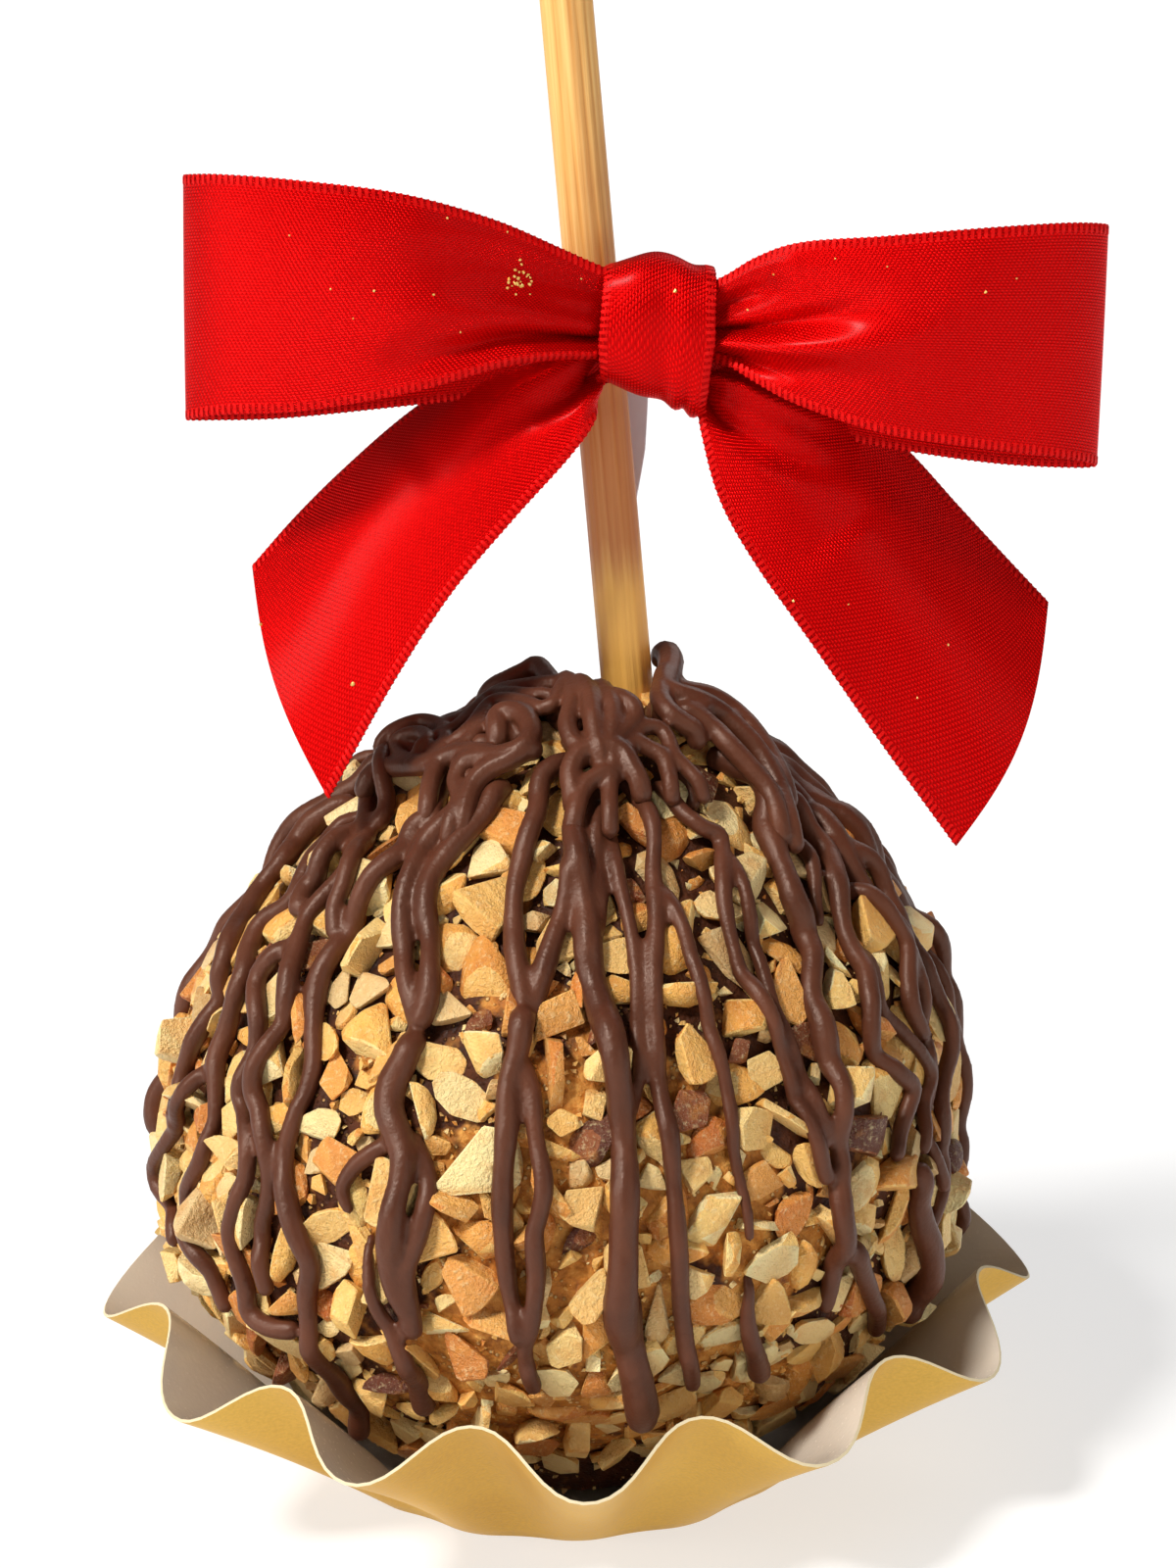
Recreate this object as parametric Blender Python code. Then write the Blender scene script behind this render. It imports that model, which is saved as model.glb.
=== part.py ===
"""Coated apple on a bamboo stick, standing in a fluted paper cup, with a ready-made ribbon bow.

Origin: centre of the cup's flat base. +Z up, -Y towards the bow. Metres.
"""
import math

import bmesh
import bpy
import numpy as np
from mathutils import Vector

MM = 0.001  # the lists of places below are in millimetres
CLEARANCE = 0.0003  # between pieces that touch

# paper cup
CUP_BASE_RADIUS = 0.0253
CUP_WALL_LENGTH = 0.0323
CUP_PAPER = 0.0004
CUP_CORNERS = (2, 30, 60, 92, 118, 148, 180, 212, 246, 274, 308, 335)  # degrees from -Y towards +X
CUP_SLOPE = math.radians(38.5)  # of the wall over the floor, half way between ridge and corner
CUP_FLUTE_SWING = math.radians(6.5)
CUP_CURL = math.radians(7)  # the wall starts steeper than it ends
CUP_PINCH = math.radians(3.2)  # the left and right sides stand steeper than front and back
CUP_STEPS_PER_FLUTE = 9
CUP_RINGS = 4

# coated apple: (height, radius, x of its middle) up the outside, from the cup's floor to the mound
APPLE_PROFILE = (
    (0.7, 19.0, 0.0), (2.6, 24.2, 0.0), (6.5, 28.6, 0.0), (12.0, 33.8, 0.0), (19.0, 39.8, -0.3),
    (27.0, 44.6, -0.8), (36.0, 45.8, -0.6), (45.0, 45.2, -0.1), (53.0, 43.2, 0.4), (60.0, 39.9, 0.9),
    (67.0, 34.9, 1.4), (73.5, 29.2, 1.9), (79.0, 23.2, 2.6), (84.0, 16.8, 3.8),
)
APPLE_SEGMENTS = 64
MOUND_PROFILE = ((87.4, 10.6, 5.2), (88.8, 5.4, 6.0))  # poured chocolate round the stick
NUT_LUMP = 0.00075  # how far the nuts and strands lift the outline, each way
MOUND_LUMP = 0.0011

# bamboo stick
STICK_RADIUS = 0.00275
STICK_LENGTH = 0.140
STICK_BOTTOM_Z = 0.0375
STICK_FOOT_X = 0.0114  # where its axis would meet the bottom's height
STICK_LEAN = math.radians(-3.95)  # towards -X
STICK_SIDES = 24
STICK_CHAMFER = 0.0004

# ribbon bow, 25 mm satin ribbon; each row is (upper edge, lower edge) at one place along the ribbon
RIBBON_THICKNESS = 0.0005
LOOP_LEFT = (
    ((5.0, -9.6, 135.0), (5.0, -9.8, 125.7)),
    ((1.2, -10.8, 137.9), (1.2, -11.2, 126.1)),
    ((-5.5, -12.2, 141.0), (-4.5, -12.8, 125.8)),
    ((-15.5, -13.4, 144.0), (-14.0, -14.2, 123.6)),
    ((-28.0, -12.5, 145.5), (-27.5, -12.8, 121.6)),
    ((-34.6, -10.4, 145.6), (-35.2, -10.5, 121.0)),
    ((-36.5, -8.6, 145.3), (-37.4, -8.6, 120.1)),
    ((-34.7, -6.9, 144.8), (-35.2, -6.9, 119.6)),
    ((-28.0, -5.6, 143.9), (-27.5, -5.5, 119.4)),
    ((-15.5, -5.0, 142.2), (-15.0, -5.0, 120.3)),
    ((-4.0, -5.5, 138.2), (-4.0, -5.5, 121.4)),
    ((5.0, -6.6, 133.6), (5.0, -6.6, 122.2)),
)
LOOP_RIGHT = (
    ((18.4, -9.6, 134.0), (18.4, -9.8, 124.7)),
    ((22.0, -10.9, 136.2), (21.8, -11.3, 123.0)),
    ((26.5, -12.2, 137.7), (26.0, -12.6, 121.0)),
    ((35.0, -13.4, 138.4), (35.0, -14.0, 118.2)),
    ((47.0, -12.9, 139.1), (46.0, -13.2, 116.2)),
    ((55.6, -10.8, 138.8), (54.4, -10.9, 114.6)),
    ((57.8, -9.0, 138.3), (56.9, -9.0, 113.4)),
    ((56.0, -7.3, 137.6), (55.2, -7.2, 112.7)),
    ((47.0, -5.9, 136.6), (46.5, -5.8, 113.1)),
    ((35.0, -5.3, 135.5), (35.0, -5.3, 115.0)),
    ((25.0, -5.5, 134.2), (25.0, -5.5, 117.6)),
    ((18.4, -6.6, 132.6), (18.4, -6.6, 120.6)),
)
TAIL_LEFT = (  # (outer edge, inner edge)
    ((5.0, -5.5, 128.6), (5.0, -6.6, 121.8)),
    ((0.0, -4.3, 127.2), (4.9, -9.2, 119.2)),
    ((-7.0, -3.0, 124.0), (2.2, -11.2, 115.7)),
    ((-14.6, -1.8, 119.0), (-3.8, -12.6, 109.5)),
    ((-21.6, -0.6, 113.0), (-10.4, -13.3, 102.0)),
    ((-27.2, 0.0, 107.6), (-16.8, -14.0, 92.6)),
    ((-32.0, 0.0, 102.4), (-23.9, -14.4, 80.4)),
)
TAIL_RIGHT = (
    ((19.2, -5.6, 125.0), (18.5, -6.8, 121.6)),
    ((24.6, -4.5, 124.6), (17.4, -9.6, 116.8)),
    ((31.4, -3.0, 119.6), (17.8, -11.0, 110.6)),
    ((37.6, -2.0, 114.2), (21.4, -12.0, 104.0)),
    ((43.4, -1.5, 107.6), (27.0, -12.8, 95.8)),
    ((48.6, -1.6, 101.8), (34.2, -13.2, 85.0)),
    ((53.0, -1.8, 97.0), (42.2, -13.2, 73.4)),
)
RIBBON_STEPS = 25  # places worked out along a loop
TAIL_STEPS = 12
RIBBON_STRIPS = 8  # across the ribbon
CREASE_REACH = 0.36  # part of a loop's length that the gathers run out from the knot
CREASE_DEPTH = 0.0016
TAIL_CUP = 0.0020  # how far a tail's middle stands forward of its edges
TAIL_CUT_BOW = (0.0006, 0.0018)  # left, right: how far the middle of a tail's cut end runs past its corners

# knot: a band of the same ribbon, folded narrow, round the gathered middle
KNOT_X = (0.0055, 0.0179)
KNOT_CENTRE = (-0.0078, 0.1276)  # y, z
KNOT_HALF_DEPTH = 0.0041
KNOT_HALF_HEIGHT = 0.0078
KNOT_WALL = 0.0006
KNOT_SEGMENTS = 28
KNOT_SQUARENESS = 2.6  # 2 is an ellipse
CORE_REACH = 0.0015  # how far the gathered middle stands out of the knot at each side

# twist tie: a flat plastic strip round the stick, with one end hanging behind it
TIE_WIDTH = 0.0040
TIE_THICKNESS = 0.0005
TIE_HEIGHT = 0.1262  # middle of the turn round the stick
TIE_TURN = ((10.9, -3.2), (10.6, -0.6), (9.3, 2.2), (5.6, 3.9), (2.1, 2.5), (1.0, -0.4), (0.9, -3.0))
TIE_TAIL = ((8.6, 3.3, 127.4), (8.9, 3.9, 121.5), (8.5, 4.1, 112.0), (7.8, 3.9, 104.0))


def clear_scene():
    for old in list(bpy.data.objects):
        bpy.data.objects.remove(old, do_unlink=True)


def finish(name, colour, roughness, metallic=0.0):
    """A plain Principled material."""
    material = bpy.data.materials.new(name)
    material.use_nodes = True
    shader = material.node_tree.nodes["Principled BSDF"]
    shader.inputs["Base Color"].default_value = (*colour, 1.0)
    shader.inputs["Roughness"].default_value = roughness
    shader.inputs["Metallic"].default_value = metallic
    return material


def add_object(name, bm, material, sharp=40):
    """Turns bm into a named, smooth-shaded object whose normals point out."""
    bmesh.ops.recalc_face_normals(bm, faces=bm.faces)
    mesh = bpy.data.meshes.new(name)
    bm.to_mesh(mesh)
    bm.free()
    mesh.shade_smooth()
    mesh.set_sharp_from_angle(angle=math.radians(sharp))
    if material:
        mesh.materials.append(material)
    obj = bpy.data.objects.new(name, mesh)
    bpy.context.scene.collection.objects.link(obj)
    return obj


def as_guide(obj):
    """A helper shape that a Boolean uses; it is no piece of the object."""
    obj.hide_render = True
    obj.display_type = "WIRE"
    return obj


def boolean(obj, other, operation):
    step = obj.modifiers.new(operation.title(), "BOOLEAN")
    step.operation = operation
    step.solver = "EXACT"
    step.object = other


def smooth_path(points, count):
    """count places on a Catmull-Rom curve through points, evenly spaced in its parameter."""
    points = np.asarray(points, float)
    ends = [2 * points[0] - points[1], *points, 2 * points[-1] - points[-2]]
    places = []
    for t in np.linspace(0, len(points) - 1, count):
        i = min(int(t), len(points) - 2)
        f = t - i
        a, b, c, d = ends[i:i + 4]
        places.append(0.5 * (2 * b + (c - a) * f + (2 * a - 5 * b + 4 * c - d) * f ** 2
                             + (3 * b - a - 3 * c + d) * f ** 3))
    return np.array(places)


def skin(bm, rows, closed_rows=False):
    """Joins neighbouring rows of vertices with quads."""
    for lower, upper in zip(rows, rows[1:]):
        last = len(lower) if closed_rows else len(lower) - 1
        for i in range(last):
            j = (i + 1) % len(lower)
            bm.faces.new((lower[i], lower[j], upper[j], upper[i]))


# ---- paper cup

def flute(angle):
    """-1 on an outward corner of the cup, +1 on the ridge half way to the next."""
    degrees = math.degrees(angle) % 360
    corners = sorted(CUP_CORNERS)
    corners = [corners[-1] - 360] + corners + [corners[0] + 360]
    for start, end in zip(corners, corners[1:]):
        if start <= degrees < end:
            wave = -math.cos(2 * math.pi * (degrees - start) / (end - start))
            return wave * (1.12 - 0.12 * wave * wave)  # a little straighter than a sine
    return 0.0


def cup_point(angle, along, lift):
    """A place on the wall: along runs from 0 at the base to 1 at the rim, lift is off the outer face."""
    swing = CUP_FLUTE_SWING * flute(angle) + CUP_PINCH * math.sin(angle) ** 2
    radius = CUP_BASE_RADIUS - 0.0004 * flute(angle)
    height = 0.0
    pieces = 8
    for k in range(pieces):
        part = (k + 0.5) / pieces * along
        slope = CUP_SLOPE + swing + CUP_CURL * (0.5 - part)
        radius += math.cos(slope) * CUP_WALL_LENGTH * along / pieces
        height += math.sin(slope) * CUP_WALL_LENGTH * along / pieces
    slope = CUP_SLOPE + swing
    radius -= math.sin(slope) * lift
    height += math.cos(slope) * lift
    return Vector((radius * math.sin(angle), -radius * math.cos(angle), height))


def make_paper_cup():
    bm = bmesh.new()
    steps = CUP_STEPS_PER_FLUTE * len(CUP_CORNERS)
    angles = [2 * math.pi * i / steps for i in range(steps)]
    rings = []
    for k in range(CUP_RINGS + 1):
        rings.append([bm.verts.new(cup_point(a, k / CUP_RINGS, 0)) for a in angles])
    for k in range(CUP_RINGS, 0, -1):
        rings.append([bm.verts.new(cup_point(a, k / CUP_RINGS, CUP_PAPER)) for a in angles])
    floor = []
    for a in angles:
        edge = cup_point(a, 0, 0)
        inside = 1 - CUP_PAPER / CUP_BASE_RADIUS
        floor.append(bm.verts.new((edge.x * inside, edge.y * inside, CUP_PAPER)))
    rings.append(floor)
    skin(bm, rings, closed_rows=True)
    bm.faces.new(rings[0])
    bm.faces.new(floor)
    gold = finish("gold_card", (0.60, 0.40, 0.14), 0.42)
    return add_object("paper_cup", bm, gold, sharp=60)


# ---- coated apple

def lumps(angle, height, size):
    """An uneven outline as nuts under strands give: waves that don't line up."""
    z = height / MM
    wave = (0.42 * math.sin(9 * angle + 0.11 * z) * math.cos(0.31 * z + 1.0)
            + 0.34 * math.sin(17 * angle - 0.23 * z + 2.0)
            + 0.24 * math.sin(23 * angle + 0.52 * z + 0.7))
    return size * wave


def make_apple(hole):
    bm = bmesh.new()
    rows = []
    for z, radius, middle in APPLE_PROFILE:
        near_floor = min(1.0, max(0.0, (z - 4) / 14))
        row = []
        for i in range(APPLE_SEGMENTS):
            a = 2 * math.pi * i / APPLE_SEGMENTS
            r = radius * MM + lumps(a, z * MM, NUT_LUMP * near_floor)
            row.append(bm.verts.new((r * math.sin(a) + middle * MM, -r * math.cos(a), z * MM)))
        rows.append(row)
    for z, radius, middle in MOUND_PROFILE:
        row = []
        for i in range(APPLE_SEGMENTS):
            a = 2 * math.pi * i / APPLE_SEGMENTS
            coil = MOUND_LUMP * math.sin(5 * a + z) * math.cos(3 * a)
            r = radius * MM + coil * 0.6
            row.append(bm.verts.new((r * math.sin(a) + middle * MM, -r * math.cos(a), z * MM + coil)))
        rows.append(row)
    skin(bm, rows, closed_rows=True)
    bm.faces.new(rows[0])
    crown = bm.verts.new((MOUND_PROFILE[-1][2] * MM, 0, rows[-1][0].co.z + 0.0002))
    for i, vert in enumerate(rows[-1]):
        bm.faces.new((vert, rows[-1][(i + 1) % APPLE_SEGMENTS], crown))
    obj = add_object("apple", bm, finish("nut_coating", (0.62, 0.40, 0.17), 0.5))
    boolean(obj, hole, "DIFFERENCE")
    return obj


# ---- stick

def stick_axis():
    """An empty at the foot of the stick, leaning as the stick does."""
    axis = bpy.data.objects.new("stick_axis", None)
    bpy.context.scene.collection.objects.link(axis)
    axis.location = (STICK_FOOT_X, 0, STICK_BOTTOM_Z)
    axis.rotation_euler = (0, STICK_LEAN, 0)
    return axis


def rod(radius, start, end, chamfer):
    """A round bar along +Z with its two rims chamfered."""
    bm = bmesh.new()
    bmesh.ops.create_cone(bm, cap_ends=True, segments=STICK_SIDES,
                          radius1=radius, radius2=radius, depth=end - start)
    bmesh.ops.translate(bm, verts=bm.verts, vec=(0, 0, (start + end) / 2))
    if chamfer:
        rims = [e for e in bm.edges if abs(e.verts[0].co.z - e.verts[1].co.z) < chamfer]
        bmesh.ops.bevel(bm, geom=rims, offset=chamfer, segments=1, affect="EDGES")
    return bm


def make_stick(axis):
    wood = finish("bamboo", (0.80, 0.52, 0.20), 0.55)
    stick = add_object("stick", rod(STICK_RADIUS, 0, STICK_LENGTH, STICK_CHAMFER), wood, sharp=35)
    stick.parent = axis
    hole = add_object("stick_hole", rod(STICK_RADIUS + CLEARANCE, -CLEARANCE, STICK_LENGTH, 0), None)
    hole.parent = axis
    return stick, as_guide(hole)


# ---- bow

def crease(along, across, depth):
    """Gathers that run out of the knot and fade: a valley with a ridge under it, and a softer one above."""
    fade = max(0.0, 1 - along / CREASE_REACH) ** 1.3
    valley = math.exp(-((across - 0.66) / 0.10) ** 2)
    ridge = math.exp(-((across - 0.84) / 0.11) ** 2)
    upper = math.exp(-((across - 0.30) / 0.14) ** 2)
    return depth * fade * (valley - 0.8 * ridge - 0.5 * upper)


def face_normals(grid):
    normal = np.cross(np.gradient(grid, axis=0), np.gradient(grid, axis=1))
    return normal / np.linalg.norm(normal, axis=2, keepdims=True)


def ribbon_solid(name, edges, count, offset_at, cut_bow=0.0):
    """An evenly thick ribbon between two edges; offset_at(along, across) lifts it off the straight line."""
    first = smooth_path([pair[0] for pair in edges], count) * MM
    second = smooth_path([pair[1] for pair in edges], count) * MM
    grid = np.empty((count, RIBBON_STRIPS + 1, 3))
    for i in range(count):
        for j in range(RIBBON_STRIPS + 1):
            across = j / RIBBON_STRIPS
            grid[i, j] = first[i] * (1 - across) + second[i] * across
    run = np.gradient(grid, axis=0)
    run /= np.linalg.norm(run, axis=2, keepdims=True)
    normal = face_normals(grid)
    for i in range(count):
        for j in range(RIBBON_STRIPS + 1):
            along = i / (count - 1)
            across = j / RIBBON_STRIPS
            near_cut = max(0.0, along * 5 - 4)
            grid[i, j] += normal[i, j] * offset_at(along, across)
            grid[i, j] += run[i, j] * cut_bow * near_cut * math.sin(math.pi * across)
    normal = face_normals(grid)
    bm = bmesh.new()
    half = normal * RIBBON_THICKNESS / 2
    front = [[bm.verts.new(p) for p in row] for row in grid + half]
    back = [[bm.verts.new(p) for p in row] for row in grid - half]
    rings = []
    for row, other in zip(front, back):
        rings.append(row + other[::-1])
    skin(bm, rings, closed_rows=True)
    for ring in (rings[0], rings[-1]):
        width = len(ring) // 2
        for i in range(width - 1):
            bm.faces.new((ring[i], ring[i + 1], ring[-2 - i], ring[-1 - i]))
    return as_guide(add_object(name, bm, None, sharp=50))


def rounded_section(half_depth, half_height):
    """Places round a squarish oval in the y, z plane."""
    power = 2 / KNOT_SQUARENESS
    section = []
    for i in range(KNOT_SEGMENTS):
        a = 2 * math.pi * i / KNOT_SEGMENTS
        c = math.cos(a)
        s = math.sin(a)
        y = KNOT_CENTRE[0] + half_depth * math.copysign(abs(c) ** power, c)
        z = KNOT_CENTRE[1] + half_height * math.copysign(abs(s) ** power, s)
        section.append((y, z))
    return section


def make_bow_core(material):
    """The gathered middle that the knot is wrapped round, flaring towards each loop."""
    inner_depth = KNOT_HALF_DEPTH - KNOT_WALL - CLEARANCE
    inner_height = KNOT_HALF_HEIGHT - KNOT_WALL - CLEARANCE
    end = CORE_REACH
    stations = ((KNOT_X[0] - end, 0.86), (KNOT_X[0], 0.98), (KNOT_X[1], 0.98), (KNOT_X[1] + end, 0.86))
    bm = bmesh.new()
    rings = []
    for x, grow in stations:
        section = rounded_section(inner_depth * grow, inner_height * grow)
        rings.append([bm.verts.new((x, y, z)) for y, z in section])
    skin(bm, rings, closed_rows=True)
    bm.faces.new(rings[0])
    bm.faces.new(rings[-1])
    return add_object("bow_ribbon", bm, material)


def make_bow():
    satin = finish("red_satin", (0.70, 0.008, 0.006), 0.35)
    bow = make_bow_core(satin)

    def left_fold(along, across):
        near = min(along, 1 - along) * 2
        side = -1 if along < 0.5 else 0.5
        return crease(near, across, CREASE_DEPTH * side)

    def right_fold(along, across):
        near = min(along, 1 - along) * 2
        side = 1 if along < 0.5 else -0.5
        return crease(near, across, CREASE_DEPTH * side)

    def left_cup(along, across):
        return TAIL_CUP * math.sin(math.pi * across) * min(1.0, along * 4)

    def right_cup(along, across):
        return -TAIL_CUP * math.sin(math.pi * across) * min(1.0, along * 4)

    parts = (ribbon_solid("loop_left", LOOP_LEFT, RIBBON_STEPS, left_fold),
             ribbon_solid("loop_right", LOOP_RIGHT, RIBBON_STEPS, right_fold),
             ribbon_solid("tail_left", TAIL_LEFT, TAIL_STEPS, left_cup, TAIL_CUT_BOW[0]),
             ribbon_solid("tail_right", TAIL_RIGHT, TAIL_STEPS, right_cup, TAIL_CUT_BOW[1]))
    for part in parts:
        boolean(bow, part, "UNION")
    return bow, satin


def make_knot(satin):
    bm = bmesh.new()
    outer = rounded_section(KNOT_HALF_DEPTH, KNOT_HALF_HEIGHT)
    inner = rounded_section(KNOT_HALF_DEPTH - KNOT_WALL, KNOT_HALF_HEIGHT - KNOT_WALL)
    rings = []
    for x, section in ((KNOT_X[0], outer), (KNOT_X[1], outer), (KNOT_X[1], inner), (KNOT_X[0], inner)):
        rings.append([bm.verts.new((x, y, z)) for y, z in section])
    rings.append(rings[0])
    skin(bm, rings, closed_rows=True)
    return add_object("bow_knot", bm, satin)


# ---- twist tie

def strip(bm, places, across, thick):
    """A flat strip through places; across is the way its width lies, thick its thickness at each place."""
    rings = []
    for p, t in zip(places, thick):
        w = Vector(across) * TIE_WIDTH / 2
        h = Vector(t).normalized() * TIE_THICKNESS / 2
        corners = (w + h, h - w, -w - h, w - h)
        rings.append([bm.verts.new(Vector(p) + c) for c in corners])
    skin(bm, rings, closed_rows=True)
    bm.faces.new(rings[0])
    bm.faces.new(rings[-1])


def make_twist_tie():
    white = finish("white_plastic", (0.62, 0.62, 0.64), 0.35)
    turn = smooth_path([(x, y, TIE_HEIGHT / MM) for x, y in TIE_TURN], 19) * MM
    run = np.gradient(turn, axis=0)
    outward = np.stack([run[:, 1], -run[:, 0], run[:, 2] * 0], axis=1)
    bm = bmesh.new()
    strip(bm, turn, (0, 0, 1), outward)
    tie = add_object("twist_tie", bm, white)
    hang = smooth_path(TIE_TAIL, 8) * MM
    bm = bmesh.new()
    strip(bm, hang, (1, 0, 0), [(0, 1, 0)] * len(hang))
    tail = as_guide(add_object("tie_tail", bm, None))
    boolean(tie, tail, "UNION")
    return tie


clear_scene()
make_paper_cup()
foot = stick_axis()
bamboo_stick, stick_hole = make_stick(foot)
make_apple(stick_hole)
ribbon, red = make_bow()
make_knot(red)
make_twist_tie()
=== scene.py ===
import math
import random

import bpy
import numpy as np
from mathutils import Matrix, Vector, noise
from mathutils.bvhtree import BVHTree


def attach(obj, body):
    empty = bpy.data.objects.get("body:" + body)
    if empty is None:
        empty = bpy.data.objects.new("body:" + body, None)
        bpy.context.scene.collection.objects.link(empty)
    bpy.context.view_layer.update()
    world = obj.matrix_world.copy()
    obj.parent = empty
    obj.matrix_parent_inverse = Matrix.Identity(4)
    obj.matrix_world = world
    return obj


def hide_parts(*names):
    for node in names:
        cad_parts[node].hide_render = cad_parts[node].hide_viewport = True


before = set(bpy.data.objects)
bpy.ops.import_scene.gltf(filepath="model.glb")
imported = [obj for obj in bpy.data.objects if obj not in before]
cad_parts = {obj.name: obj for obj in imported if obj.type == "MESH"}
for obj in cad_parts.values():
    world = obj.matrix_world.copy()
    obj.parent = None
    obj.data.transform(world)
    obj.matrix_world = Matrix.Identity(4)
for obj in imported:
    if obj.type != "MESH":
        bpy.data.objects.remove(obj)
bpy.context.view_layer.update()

mm = 0.001
up = Vector((0, 0, 1))


# small tools

def deselectAll():
    if bpy.context.object and bpy.context.object.mode != "OBJECT":
        bpy.ops.object.mode_set(mode="OBJECT")
    bpy.ops.object.select_all(action="DESELECT")


def makeActive(piece):
    deselectAll()
    piece.select_set(True)
    bpy.context.view_layer.objects.active = piece


def applyModifiers(piece):
    makeActive(piece)
    for step in list(piece.modifiers):
        bpy.ops.object.modifier_apply(modifier=step.name)


def settle(piece, name):
    # leaves the piece at the origin, riding on the one body
    makeActive(piece)
    bpy.ops.object.transform_apply(location=True, rotation=True, scale=True)
    piece.name = name
    piece.data.name = name
    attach(piece, "root")
    return piece


def smoothBy(piece, degrees):
    makeActive(piece)
    bpy.ops.object.shade_smooth_by_angle(angle=math.radians(degrees))


def closeSeams(piece, gap=0.00001):
    makeActive(piece)
    bpy.ops.object.mode_set(mode="EDIT")
    bpy.ops.mesh.select_all(action="SELECT")
    bpy.ops.mesh.remove_doubles(threshold=gap)
    bpy.ops.mesh.normals_make_consistent(inside=False)
    bpy.ops.object.mode_set(mode="OBJECT")


def wrapGrid(name, columns, rows, place, uvSize=(1.0, 1.0)):
    # a flat grid laid over a shape: place takes arrays u, v from 0 to 1 and gives x, y, z
    deselectAll()
    bpy.ops.mesh.primitive_grid_add(x_subdivisions=columns, y_subdivisions=rows, size=1.0)
    piece = bpy.context.object
    piece.name = name
    mesh = piece.data
    flat = np.empty(len(mesh.vertices) * 3)
    mesh.vertices.foreach_get("co", flat)
    flat = flat.reshape(-1, 3)
    u = np.clip(flat[:, 0] + 0.5, 0, 1)
    v = np.clip(flat[:, 1] + 0.5, 0, 1)
    corner = np.empty(len(mesh.loops), int)
    mesh.loops.foreach_get("vertex_index", corner)
    layer = mesh.uv_layers.active or mesh.uv_layers.new(name="cloth")
    layer.name = "cloth"
    pairs = np.stack([u * uvSize[0], v * uvSize[1]], axis=1)[corner]
    layer.data.foreach_set("uv", pairs.ravel())
    mesh.vertices.foreach_set("co", np.asarray(place(u, v)).ravel())
    mesh.update()
    return piece


def meshFrom(name, points, faces):
    mesh = bpy.data.meshes.new(name)
    mesh.from_pydata(points, [], faces)
    mesh.update()
    piece = bpy.data.objects.new(name, mesh)
    bpy.context.scene.collection.objects.link(piece)
    return piece


def curvePath(points, spacing):
    # evenly spaced places on a Catmull-Rom curve through points, any number of columns
    points = np.asarray(points, float)
    ends = np.vstack([2 * points[0] - points[1], points, 2 * points[-1] - points[-2]])
    fine = []
    for i in range(len(points) - 1):
        a, b, c, d = ends[i:i + 4]
        for f in np.linspace(0, 1, 16, endpoint=False):
            fine.append(0.5 * (2 * b + (c - a) * f + (2 * a - 5 * b + 4 * c - d) * f ** 2
                               + (3 * b - a - 3 * c + d) * f ** 3))
    fine.append(points[-1])
    fine = np.array(fine)
    run = np.r_[0, np.cumsum(np.linalg.norm(np.diff(fine[:, :3], axis=0), axis=1))]
    count = max(3, int(round(run[-1] / spacing)) + 1)
    at = np.linspace(0, run[-1], count)
    return np.stack([np.interp(at, run, fine[:, k]) for k in range(fine.shape[1])], axis=1)


def bump(x, middle, width):
    return np.exp(-((x - middle) / width) ** 2)


def smoothStep(x, low, high):
    t = np.clip((x - low) / (high - low), 0, 1)
    return t * t * (3 - 2 * t)


def linear(red, green, blue):
    # a colour as a screen shows it, 0 to 255, to light values
    return tuple((c / 255 / 12.92) if c <= 10 else ((c / 255 + 0.055) / 1.055) ** 2.4 for c in (red, green, blue))


# nodes

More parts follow.
